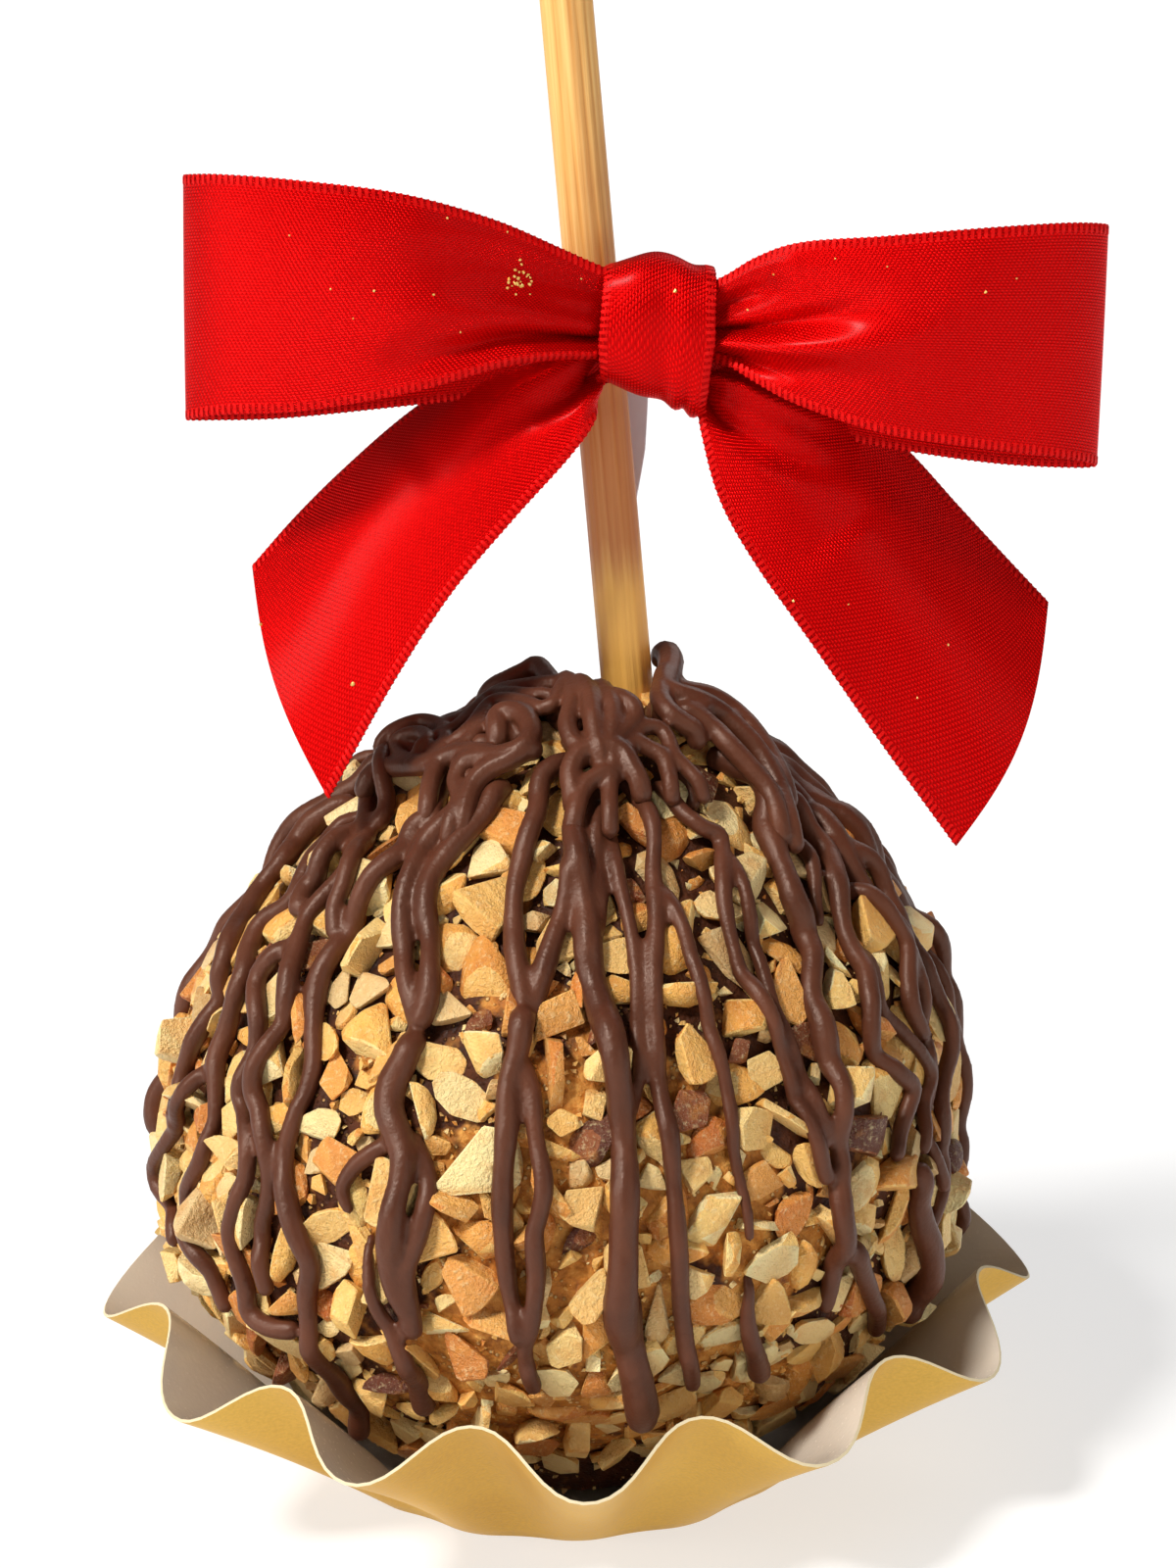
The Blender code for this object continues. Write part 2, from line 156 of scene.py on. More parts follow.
class Finish:
    def __init__(self, name):
        self.material = bpy.data.materials.new(name)
        self.material.use_nodes = True
        self.tree = self.material.node_tree
        self.shader = self.tree.nodes["Principled BSDF"]
        self.where = self.add("ShaderNodeTexCoord")

    def add(self, kind, **values):
        made = self.tree.nodes.new(kind)
        for key, value in values.items():
            setattr(made, key, value)
        return made

    def join(self, source, target):
        self.tree.links.new(source, target)

    def mapped(self, scale=(1, 1, 1), turn=(0, 0, 0), move=(0, 0, 0), output="Object"):
        step = self.add("ShaderNodeMapping")
        step.inputs["Scale"].default_value = scale
        step.inputs["Rotation"].default_value = turn
        step.inputs["Location"].default_value = move
        self.join(self.where.outputs[output], step.inputs["Vector"])
        return step.outputs["Vector"]

    def noise(self, scale, detail=3.0, rough=0.5, vector=None, distortion=0.0):
        step = self.add("ShaderNodeTexNoise")
        step.inputs["Scale"].default_value = scale
        step.inputs["Detail"].default_value = detail
        step.inputs["Roughness"].default_value = rough
        step.inputs["Distortion"].default_value = distortion
        self.join(vector or self.where.outputs["Object"], step.inputs["Vector"])
        return step.outputs["Fac"]

    def cells(self, scale, vector=None, feature="F1", output="Distance"):
        step = self.add("ShaderNodeTexVoronoi", feature=feature)
        step.inputs["Scale"].default_value = scale
        self.join(vector or self.where.outputs["Object"], step.inputs["Vector"])
        return step.outputs[output]

    def ramp(self, value, stops):
        step = self.add("ShaderNodeValToRGB")
        track = step.color_ramp
        while len(track.elements) < len(stops):
            track.elements.new(0.5)
        for element, (at, colour) in zip(track.elements, stops):
            element.position = at
            element.color = (*colour, 1.0) if len(colour) == 3 else colour
        self.join(value, step.inputs["Fac"])
        return step.outputs["Color"]

    def span(self, value, low, high, newLow=0.0, newHigh=1.0):
        step = self.add("ShaderNodeMapRange")
        step.inputs["From Min"].default_value = low
        step.inputs["From Max"].default_value = high
        step.inputs["To Min"].default_value = newLow
        step.inputs["To Max"].default_value = newHigh
        self.join(value, step.inputs["Value"])
        return step.outputs["Result"]

    def sum(self, operation, first, second=None):
        step = self.add("ShaderNodeMath", operation=operation)
        for socket, value in zip(step.inputs, (first, second)):
            if value is None:
                continue
            if isinstance(value, (int, float)):
                socket.default_value = value
            else:
                self.join(value, socket)
        return step.outputs["Value"]

    def mix(self, share, first, second, blend="MIX"):
        step = self.add("ShaderNodeMix", data_type="RGBA", blend_type=blend)
        for socket, value in zip((step.inputs[0], step.inputs[6], step.inputs[7]), (share, first, second)):
            if isinstance(value, (int, float)):
                socket.default_value = value
            elif isinstance(value, tuple):
                socket.default_value = (*value, 1.0)
            else:
                self.join(value, socket)
        return step.outputs[2]

    def attribute(self, name, output="Fac"):
        step = self.add("ShaderNodeAttribute", attribute_name=name)
        return step.outputs[output]

    def colour(self, value):
        if isinstance(value, tuple):
            self.shader.inputs["Base Color"].default_value = (*value, 1.0)
        else:
            self.join(value, self.shader.inputs["Base Color"])

    def roughness(self, value):
        if isinstance(value, (int, float)):
            self.shader.inputs["Roughness"].default_value = value
        else:
            self.join(value, self.shader.inputs["Roughness"])

    def relief(self, height, depth, strength=1.0, before=None):
        step = self.add("ShaderNodeBump")
        step.inputs["Strength"].default_value = strength
        step.inputs["Distance"].default_value = depth
        self.join(height, step.inputs["Height"])
        if before:
            self.join(before, step.inputs["Normal"])
        self.join(step.outputs["Normal"], self.shader.inputs["Normal"])
        return step.outputs["Normal"]

    def fixed(self, **values):
        for key, value in values.items():
            self.shader.inputs[key.replace("_", " ")].default_value = value


# camera, floor and light

camera = {
    "place": (0.0034, -0.4294, 0.1957),
    "pitch": math.radians(74.6),
    "roll": math.radians(-1.2),
    "lens": 94.05,
}

studio = {
    "key": {"turn": (40, 0, -46), "power": 2.9, "spread": 10.0, "colour": (1.0, 0.985, 0.96)},
    "window": {"turn": (70, 0, -64), "power": 1.3, "spread": 24.0, "colour": (1.0, 0.99, 0.97)},
    "rightFill": {"turn": (70, 0, 44), "power": 0.28, "spread": 32.0, "colour": (1.0, 0.98, 0.95)},
    "backKey": {"turn": (55, 0, 150), "power": 0.45, "spread": 30.0, "colour": (0.95, 0.97, 1.0)},
    "sky": 0.16, "backdrop": 1.08,  # how strongly the sky lights things, and how pale it is behind them
    "floorGlow": 0.62,
}


def makeCamera():
    data = bpy.data.cameras.new("camera")
    data.lens = camera["lens"]
    data.sensor_width = 36.0
    data.clip_start = 0.01
    data.clip_end = 50.0
    eye = bpy.data.objects.new("camera", data)
    bpy.context.scene.collection.objects.link(eye)
    eye.matrix_world = (Matrix.Translation(camera["place"]) @ Matrix.Rotation(camera["pitch"], 4, "X")
                        @ Matrix.Rotation(camera["roll"], 4, "Z"))
    bpy.context.scene.camera = eye


def makeStudio():
    deselectAll()
    bpy.ops.mesh.primitive_plane_add(size=12.0, location=(0, 0, -0.00005))
    floor = bpy.context.object
    floor.name = "floor"
    paint = Finish("floor_white")
    paint.colour(paint.ramp(paint.noise(3.0), [(0.3, (0.44, 0.44, 0.44)), (0.7, (0.46, 0.46, 0.46))]))
    paint.roughness(0.9)
    paint.fixed(Specular_IOR_Level=0.1, Emission_Color=(1, 1, 1, 1), Emission_Strength=studio["floorGlow"])
    floor.data.materials.append(paint.material)
    for name in ("key", "window", "rightFill", "backKey"):
        lamp = studio[name]
        data = bpy.data.lights.new(name, "SUN")
        data.energy = lamp["power"]
        data.angle = math.radians(lamp["spread"])
        data.color = lamp["colour"]
        light = bpy.data.objects.new(name, data)
        light.rotation_euler = [math.radians(t) for t in lamp["turn"]]
        bpy.context.scene.collection.objects.link(light)
    world = bpy.data.worlds.new("studio")
    world.use_nodes = True
    sky = world.node_tree.nodes["Background"]
    sky.inputs["Color"].default_value = (1.0, 0.97, 0.93, 1.0)
    seen = world.node_tree.nodes.new("ShaderNodeLightPath")
    strength = world.node_tree.nodes.new("ShaderNodeMapRange")
    strength.inputs["To Min"].default_value = studio["sky"]
    strength.inputs["To Max"].default_value = studio["backdrop"]
    world.node_tree.links.new(seen.outputs["Is Camera Ray"], strength.inputs["Value"])
    world.node_tree.links.new(strength.outputs["Result"], sky.inputs["Strength"])
    bpy.context.scene.world = world
    bpy.context.scene.view_settings.view_transform = "Standard"
    print("camera and studio")


# paper cup

cup = {
    "baseRadius": 25.3, "wallLength": 32.3, "paper": 0.32,
    "corners": (2, 30, 60, 92, 118, 148, 180, 212, 246, 274, 308, 335),  # degrees from the front to the right
    "slope": math.radians(38.5), "swing": math.radians(6.5), "curl": math.radians(7), "pinch": math.radians(3.2),
    "columns": 240, "floorRows": 6, "wallRows": 18,
}


def fluteWave(angle):
    # -1 on an outward corner, +1 on the ridge half way to the next
    degrees = np.degrees(angle) % 360
    corners = sorted(cup["corners"])
    corners = np.array([corners[-1] - 360] + corners + [corners[0] + 360], float)
    part = np.interp(degrees, corners, np.arange(len(corners)))
    wave = -np.cos(2 * np.pi * (part - np.floor(part)))
    return wave * (1.12 - 0.12 * wave * wave)


def cupPlace(u, v):
    angle = u * 2 * np.pi
    floorShare = cup["floorRows"] / (cup["floorRows"] + cup["wallRows"])
    onFloor = v <= floorShare
    along = np.clip((v - floorShare) / (1 - floorShare), 0, 1)
    wave = fluteWave(angle)
    swing = cup["swing"] * wave + cup["pinch"] * np.sin(angle) ** 2
    radius = cup["baseRadius"] - 0.4 * wave
    height = np.zeros_like(u)
    pieces = 8
    for k in range(pieces):
        slope = cup["slope"] + swing + cup["curl"] * (0.5 - (k + 0.5) / pieces * along)
        radius = radius + np.cos(slope) * cup["wallLength"] * along / pieces
        height = height + np.sin(slope) * cup["wallLength"] * along / pieces
    radius = np.where(onFloor, radius * v / floorShare, radius)
    return np.stack([radius * np.sin(angle), -radius * np.cos(angle), height], axis=1) * mm


def goldCard():
    paint = Finish("gold_card")
    fine = paint.noise(2600.0, 2.0)
    broad = paint.noise(38.0, 2.0)
    gold = paint.ramp(broad, [(0.35, linear(196, 150, 56)), (0.65, linear(214, 172, 76))])
    paint.colour(paint.mix(0.16, gold, paint.ramp(fine, [(0.3, linear(150, 108, 34)), (0.7, linear(246, 204, 104))])))
    paint.roughness(paint.span(fine, 0.3, 0.7, 0.34, 0.46))
    paint.fixed(Metallic=0.45, Specular_Tint=(1.0, 0.80, 0.45, 1.0))
    paint.relief(paint.sum("ADD", fine, paint.noise(240.0, 2.0)), 0.00004)
    return paint.material


def whiteCard(name, colour, rough):
    paint = Finish(name)
    fine = paint.noise(1800.0, 2.0)
    tone = paint.ramp(paint.noise(30.0, 2.0), [(0.3, tuple(c * 0.93 for c in colour)), (0.7, colour)])
    paint.colour(tone)
    paint.roughness(paint.span(fine, 0.3, 0.7, rough, rough + 0.12))
    paint.relief(fine, 0.00003)
    return paint.material


def makeCup():
    piece = wrapGrid("paper_cup_card", cup["columns"], cup["floorRows"] + cup["wallRows"], cupPlace)
    closeSeams(piece)
    for surface in (goldCard(), whiteCard("white_card", linear(218, 204, 186), 0.16),
                    whiteCard("cut_card", linear(226, 210, 172), 0.6)):
        piece.data.materials.append(surface)
    wall = piece.modifiers.new("paper", "SOLIDIFY")
    wall.thickness = cup["paper"] * mm
    wall.offset = -1.0
    wall.use_even_offset = True
    wall.material_offset = 1
    wall.material_offset_rim = 2
    applyModifiers(piece)
    smoothBy(piece, 50)
    settle(piece, "fluted_cup")
    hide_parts("paper_cup")
    print("paper cup")


# coated apple: the shape that the coating follows

apple = {
    "profile": (  # height, radius, x of the middle
        (0.7, 19.0, 0.0), (2.6, 24.2, 0.0), (6.5, 28.6, 0.0), (12.0, 33.8, 0.0), (19.0, 39.8, -0.3),
        (27.0, 44.6, -0.8), (36.0, 45.8, -0.6), (45.0, 45.2, -0.1), (53.0, 43.2, 0.4), (60.0, 39.9, 0.9),
        (67.0, 34.9, 1.4), (73.5, 29.2, 1.9), (79.0, 23.2, 2.6), (84.0, 16.8, 3.8), (87.4, 10.6, 5.2),
        (88.8, 5.4, 6.0), (89.2, 0.0, 6.4)),
    "underCoat": 2.7,  # depth of the caramel under the outline
    "columns": 200, "rows": 150,
}

profileLine = np.array(apple["profile"])[::-1]
profileRun = np.r_[0, np.cumsum(np.linalg.norm(np.diff(profileLine[:, :2], axis=0), axis=1))]


def outline(degrees, down, lift=0.0):
    # a place in mm on the coating's outline: degrees from the front to the right, down its surface from the crown
    down = np.asarray(down, float)
    angle = np.radians(degrees)
    z = np.interp(down, profileRun, profileLine[:, 0])
    r = np.interp(down, profileRun, profileLine[:, 1])
    middle = np.interp(down, profileRun, profileLine[:, 2])
    step = 1.5
    dz = np.interp(down + step, profileRun, profileLine[:, 0]) - np.interp(down - step, profileRun, profileLine[:, 0])
    dr = np.interp(down + step, profileRun, profileLine[:, 1]) - np.interp(down - step, profileRun, profileLine[:, 1])
    size = np.hypot(dz, dr)
    outR = -dz / size
    outZ = dr / size
    radius = r + outR * lift
    return np.stack([middle + radius * np.sin(angle), -radius * np.cos(angle), z + outZ * lift], axis=-1)


def outward(degrees, down):
    way = outline(degrees, down, 1.0) - outline(degrees, down, 0.0)
    return way / np.linalg.norm(way, axis=-1, keepdims=True)


def corePlace(u, v):
    degrees = u * 360
    down = profileRun[-1] * v
    x = np.radians(degrees)
    wave = 0.35 * np.sin(5 * x + 0.16 * down) + 0.28 * np.sin(9 * x - 0.21 * down + 1.0) + 0.22 * np.sin(0.5 * down + 3 * x)
    nearEnds = smoothStep(v, 0.0, 0.08) * (1 - smoothStep(v, 0.93, 1.0))
    return outline(degrees, down, -apple["underCoat"] + wave * nearEnds) * mm


def caramel():
    paint = Finish("caramel_and_smears")
    broad = paint.noise(90.0, 4.0, 0.6)
    fine = paint.noise(700.0, 4.0, 0.6)
    coarse = paint.noise(240.0, 4.0, 0.62)
    grain = paint.cells(1150.0)
    amber = paint.ramp(fine, [(0.25, linear(120, 66, 26)), (0.5, linear(190, 122, 50)), (0.75, linear(226, 168, 88))])
    sugar = paint.sum("MULTIPLY", paint.span(grain, 0.30, 0.20), paint.span(coarse, 0.44, 0.58))
    crumbed = paint.mix(paint.sum("MULTIPLY", sugar, 0.8), amber, linear(248, 216, 150))
    smear = paint.attribute("smear")
    edge = paint.sum("ADD", smear, paint.sum("MULTIPLY", paint.sum("SUBTRACT", broad, 0.5), 1.6))
    share = paint.span(edge, 0.44, 0.54)
    cocoa = paint.ramp(fine, [(0.3, linear(48, 22, 9)), (0.7, linear(88, 46, 24))])
    dust = paint.sum("MULTIPLY", paint.span(grain, 0.22, 0.16), paint.span(coarse, 0.50, 0.60, 0.0, 0.6))
    dusted = paint.mix(dust, cocoa, linear(222, 170, 104))
    paint.colour(paint.mix(share, crumbed, dusted))
    paint.roughness(paint.span(fine, 0.3, 0.7, 0.42, 0.8))
    paint.fixed(Specular_IOR_Level=0.2, Subsurface_Weight=0.12, Subsurface_Radius=(0.0016, 0.0008, 0.0003))
    rough = paint.sum("ADD", paint.sum("MULTIPLY", coarse, 1.6), paint.sum("ADD", fine, paint.sum("MULTIPLY", sugar, 0.6)))
    paint.relief(rough, 0.0006)
    return paint.material


def makeCore():
    piece = wrapGrid("core", apple["columns"], apple["rows"], corePlace)
    closeSeams(piece, 0.00002)
    rng = random.Random(4)
    smear = piece.data.attributes.new("smear", "FLOAT", "POINT")
    values = []
    for vert in piece.data.vertices:
        x, y, z = vert.co / mm
        side = min(1.0, abs(x - 1) / 34)
        low = 1 - smoothStep(z, 10, 24)
        high = smoothStep(z, 50, 74)
        caramelPatch = bump(x, 0, 13) * bump(z, 28, 20) * (1 if y < 0 else 0.3)
        values.append(float(0.36 + 0.30 * side + 0.34 * low + 0.30 * high - 0.42 * caramelPatch))
    smear.data.foreach_set("value", values)
    piece.data.materials.append(caramel())
    smoothBy(piece, 60)
    settle(piece, "caramel_coat")
    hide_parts("apple")
    print("caramel coat")
    return piece


# chopped nuts

nuts = {
    "seed": 11,
    "sizes": ((420, 6.7, 9.0), (600, 5.1, 6.7), (800, 3.4, 5.1), (1100, 1.8, 3.4)),  # how many, smallest, largest
    "gap": 0.288,
    # the most striking ones: degrees from the front to the right, down from the crown, length, tone
    "striking": (
        (-61, 20, 7.8, 3), (-54, 26, 8.0, 1), (-41, 31, 5.4, 4), (-20, 25, 8.0, 3), (-18, 35, 8.8, 1), (-16, 42, 9.2, 1),
        (16, 25, 6.8, 4), (44, 21, 6.8, 6), (25, 26, 8.0, 3), (44, 27, 8.2, 2), (-34, 50, 9.2, 0), (-12, 62, 11.0, 2),
        (4, 60, 8.0, 6), (-2, 53, 10.0, 3), (3, 67, 6.4, 0), (4, 77, 7.6, 0), (19, 52, 8.0, 1), (33, 71, 6.6, 4),
        (22, 79, 9.0, 3), (-37, 61, 7.2, 2), (-55, 67, 6.8, 0), (-21, 52, 7.4, 0), (-13, 51, 7.6, 2), (-30, 80, 8.0, 1),
        (48, 83, 8.0, 4), (53, 54, 7.4, 3)),
    "crumbs": 4400,
    "crumbSize": (0.35, 1.2),
    "shapes": {"large": 18, "medium": 16, "small": 8, "crumb": 6},
    "tilt": 17,  # degrees that a nut leans, mostly less
    "lying": (0.42, 0.33, 0.25),  # shares with the round side out, the split side out, and on edge
    "lowest": 11.5,
    "flat": 0.78,  # the pieces lie pressed a little flat
    "sunk": 0.26,  # part of a nut's thickness that is in the caramel
}

nutTones = (  # share, broken side, roasted skin side
    (0.30, linear(255, 222, 146), linear(248, 190, 96)),
    (0.20, linear(252, 206, 118), linear(238, 168, 76)),
    (0.26, linear(255, 238, 178), linear(252, 210, 126)),
    (0.10, linear(240, 178, 92), linear(222, 144, 60)),
    (0.05, linear(222, 148, 68), linear(200, 116, 46)),
    (0.06, linear(232, 200, 142), linear(214, 176, 114)),
    (0.03, linear(150, 84, 42), linear(102, 50, 26)),
)


def cutBy(piece, place, way):
    bpy.ops.mesh.select_all(action="SELECT")
    bpy.ops.mesh.bisect(plane_co=place, plane_no=way, use_fill=True, clear_outer=True)


def nutShape(rng, size):
    # one chopped piece about 1 long: a slice of a half kernel, 13 by 7.5 by 4, broken across
    deselectAll()
    bpy.ops.mesh.primitive_ico_sphere_add(subdivisions=2, radius=1.0)
    piece = bpy.context.object
    kernel = (6.6, 3.8, 3.6)
    bpy.ops.object.mode_set(mode="EDIT")
    bpy.ops.mesh.select_all(action="SELECT")
    bpy.ops.transform.resize(value=kernel)
    cutBy(piece, (0, 0, rng.uniform(0.0, 0.5)), (0, rng.uniform(-0.06, 0.06), -1))  # the split face
    middle = Vector((rng.uniform(-1, 1) * max(0.0, kernel[0] - size * 0.55), rng.uniform(-0.6, 0.6), 0))
    turn = rng.uniform(0, 360)
    sides = rng.choice((3, 4, 4, 5))
    if size > 5.5 and rng.random() < 0.4:
        sides = 2
    for k in range(sides):  # the broken sides
        a = math.radians(turn + 360 / sides * k + rng.uniform(-28, 28))
        reach = size * rng.uniform(0.30, 0.50)
        way = Vector((math.cos(a), math.sin(a), rng.uniform(-0.5, 0.5)))
        cutBy(piece, tuple(middle + way * reach), tuple(way))
    if rng.random() < 0.55:
        way = Vector((rng.uniform(-0.6, 0.6), rng.uniform(-0.6, 0.6), 1))
        cutBy(piece, tuple(middle + Vector((0, 0, rng.uniform(1.7, 2.6)))), tuple(way))
    bpy.ops.mesh.select_all(action="SELECT")
    bpy.ops.mesh.dissolve_limited(angle_limit=math.radians(11))
    bpy.ops.mesh.remove_doubles(threshold=0.05 * size)
    bpy.ops.object.mode_set(mode="OBJECT")
    if size > 2.2:
        soft = piece.modifiers.new("worn", "BEVEL")
        soft.width = 0.22
        soft.segments = 1
        soft.limit_method = "ANGLE"
        soft.angle_limit = math.radians(35)
        applyModifiers(piece)
    mesh = piece.data
    mesh.calc_loop_triangles()
    points = np.array([v.co for v in mesh.vertices])
    triangles = np.array([t.vertices for t in mesh.loop_triangles])
    owner = np.array([t.polygon_index for t in mesh.loop_triangles])
    skin = []
    for face in mesh.polygons:  # the kernel's own round side, which the roasting browns
        c = face.center
        far = math.sqrt((c.x / kernel[0]) ** 2 + (c.y / kernel[1]) ** 2 + (c.z / kernel[2]) ** 2)
        skin.append(1.0 if far > 0.93 else 0.35 if face.normal.z < -0.9 else 0.0)
    skin = np.array(skin)[owner]
    bpy.data.objects.remove(piece, do_unlink=True)
    points = points - (points.max(axis=0) + points.min(axis=0)) / 2
    long_ = np.linalg.norm(points, axis=1).max() * 2
    toast = np.array([rng.choice((0.0, 0.0, 0.0, 0.2, 0.45, 0.8)) for point in points])  # browner corners
    return {"points": points / long_, "triangles": triangles, "skin": skin, "toast": toast}


def spotsOn(piece, count, rng, lowest=3.0, highest=86.0):
    # places and normals spread over a surface by area
    mesh = piece.data
    mesh.calc_loop_triangles()
    points = np.empty(len(mesh.vertices) * 3)
    mesh.vertices.foreach_get("co", points)
    points = points.reshape(-1, 3) / mm
    triangles = np.array([t.vertices for t in mesh.loop_triangles])
    a, b, c = (points[triangles[:, k]] for k in range(3))
    cross = np.cross(b - a, c - a)
    area = np.linalg.norm(cross, axis=1)
    pick = rng.choice(len(area), count, p=area / area.sum())
    s = np.sqrt(rng.random(count))[:, None]
    t = rng.random(count)[:, None]
    place = a[pick] * (1 - s) + b[pick] * s * (1 - t) + c[pick] * s * t
    normal = cross[pick] / np.maximum(area[pick], 1e-12)[:, None]
    keep = (place[:, 2] > lowest) & (place[:, 2] < highest)
    return place[keep], normal[keep]


def spread(piece, rng):
    # large nuts first, smaller ones into what is left
    places, normals = spotsOn(piece, 60000, rng, nuts["lowest"])
    # fewer nuts low in front, where bare caramel shows
    bare = bump(places[:, 0], 0, 16) * bump(places[:, 2], 22, 20) * (places[:, 1] < 0)
    kept = rng.random(len(places)) > 0.75 * bare
    places = places[kept]
    normals = normals[kept]
    chosen = []
    for degrees, down, size, tone in nuts["striking"]:
        chosen.append((outline(degrees, down, -apple["underCoat"]), outward(degrees, down), size, tone))
    taken = np.array([item[0] for item in chosen])
    reach = np.array([item[2] for item in chosen])
    at = 0
    for count, smallest, largest in nuts["sizes"]:
        sizes = np.sort(rng.uniform(smallest, largest, count))[::-1]
        for size in sizes:
            for attempt in range(26):
                at = (at + 1) % len(places)
                gap = nuts["gap"] * (reach + size)
                if np.all(np.sum((taken - places[at]) ** 2, axis=1) > gap ** 2):
                    taken = np.vstack([taken, places[at]])
                    reach = np.r_[reach, size]
                    chosen.append((places[at], normals[at], size, None))
                    break
    return chosen


def joinNuts(name, items, shapes, rng, sunk):
    # every nut's own points in one mesh, with a colour for each corner of its faces
    allPoints = []
    allFaces = []
    allColours = []
    total = 0
    shares = np.cumsum([tone[0] for tone in nutTones])
    for place, normal, size, ownTone in items:
        shape = shapes[rng.integers(len(shapes))]
        turn = up.rotation_difference(Vector(normal)).to_matrix()
        spin = Matrix.Rotation(rng.uniform(0, 2 * math.pi), 3, "Z")
        tiltWay = rng.uniform(0, 2 * math.pi)
        tilt = Matrix.Rotation(math.radians(abs(rng.normal(0, nuts["tilt"]))), 3, (math.cos(tiltWay), math.sin(tiltWay), 0))
        lying = rng.choice((0, 180, 90), p=nuts["lying"])
        roll = Matrix.Rotation(math.radians(lying), 3, "X")
        stretch = rng.uniform(0.88, 1.1, 3)
        local = (shape["points"] * stretch) @ np.array(tilt @ spin @ roll).T * size * np.array([1, 1, nuts["flat"]])
        thick = np.ptp(local[:, 2])
        points = local @ np.array(turn).T + place + np.asarray(normal) * thick * (0.5 - sunk)
        allPoints.append(points)
        allFaces.append(shape["triangles"] + total)
        total += len(points)
        tone = nutTones[int(np.searchsorted(shares, rng.random() * 0.9999)) if ownTone is None else ownTone]
        shade = rng.uniform(0.88, 1.06)
        warm = rng.uniform(0.90, 1.0)
        skin = shape["skin"][:, None, None]
        colour = np.array(tone[1]) * (1 - skin) + np.array(tone[2]) * skin
        colour = colour * (1 - shape["toast"][shape["triangles"]][:, :, None] * np.array([0.16, 0.35, 0.52]))
        allColours.append((colour * shade * np.array([1.0, warm, warm ** 2])).reshape(-1, 3))
    points = np.vstack(allPoints) * mm
    faces = np.vstack(allFaces)
    colours = np.clip(np.vstack(allColours), 0, 1)
    piece = meshFrom(name, points.tolist(), faces.tolist())
    layer = piece.data.attributes.new("nutColour", "FLOAT_COLOR", "CORNER")
    corners = np.hstack([colours, np.ones((len(colours), 1))])
    layer.data.foreach_set("color", corners.ravel())
    return piece


def nutFlesh():
    paint = Finish("chopped_nut")
    own = paint.attribute("nutColour", "Color")
    mottle = paint.noise(330.0, 4.0, 0.6)
    fine = paint.noise(1700.0, 4.0, 0.65)
    grain = paint.noise(5200.0, 2.0, 0.6)
    toasted = paint.mix(paint.span(mottle, 0.56, 0.72, 0.0, 0.5), own, linear(222, 148, 62))
    pale = paint.mix(paint.span(fine, 0.54, 0.70, 0.0, 0.4), toasted, linear(255, 236, 180))
    dusted = paint.mix(paint.span(grain, 0.62, 0.70, 0.0, 0.3), pale, linear(255, 236, 190))
    paint.colour(dusted)
    paint.roughness(paint.span(fine, 0.35, 0.65, 0.34, 0.58))
    paint.fixed(Subsurface_Weight=0.08, Subsurface_Radius=(0.0010, 0.0006, 0.0003))
    height = paint.sum("ADD", paint.sum("MULTIPLY", mottle, 1.2), paint.sum("ADD", fine, paint.sum("MULTIPLY", grain, 0.35)))
    paint.relief(height, 0.0005)
    return paint.material


def makeNuts(core):
    rng = np.random.default_rng(nuts["seed"])
    cutter = random.Random(nuts["seed"])
    shapes = {}
    for kind, size in (("large", 6.2), ("medium", 4.4), ("small", 2.6), ("crumb", 1.6)):
        shapes[kind] = [nutShape(cutter, size * cutter.uniform(0.85, 1.15)) for k in range(nuts["shapes"][kind])]
        print("nut faces", kind, [len(s["triangles"]) for s in shapes[kind]])
    chosen = spread(core, rng)
    flesh = nutFlesh()
    large = [item for item in chosen if item[2] >= 4.0]
    medium = [item for item in chosen if 2.6 <= item[2] < 4.0]
    small = [item for item in chosen if item[2] < 2.6]
    grainPlace, grainNormal = spotsOn(core, int(nuts["crumbs"] * 1.15), rng)
    grainSize = rng.uniform(*nuts["crumbSize"], len(grainPlace)) ** 1.3
    grains = [(place, normal, size, None) for place, normal, size in zip(grainPlace, grainNormal, grainSize)]
    made = []
    for name, items, kind, sunk in (("nuts_large", large, "large", nuts["sunk"]),
                                    ("nuts_medium", medium, "medium", nuts["sunk"]),
                                    ("nuts_small", small, "small", 0.2), ("nut_crumbs", grains, "crumb", 0.2)):
        piece = joinNuts(name, items, shapes[kind], rng, sunk)
        piece.data.materials.append(flesh)
        smoothBy(piece, 32)
        settle(piece, name)
        print(name, len(items), "nuts", len(piece.data.polygons), "faces")
        made.append(piece)
    return made


# poured chocolate

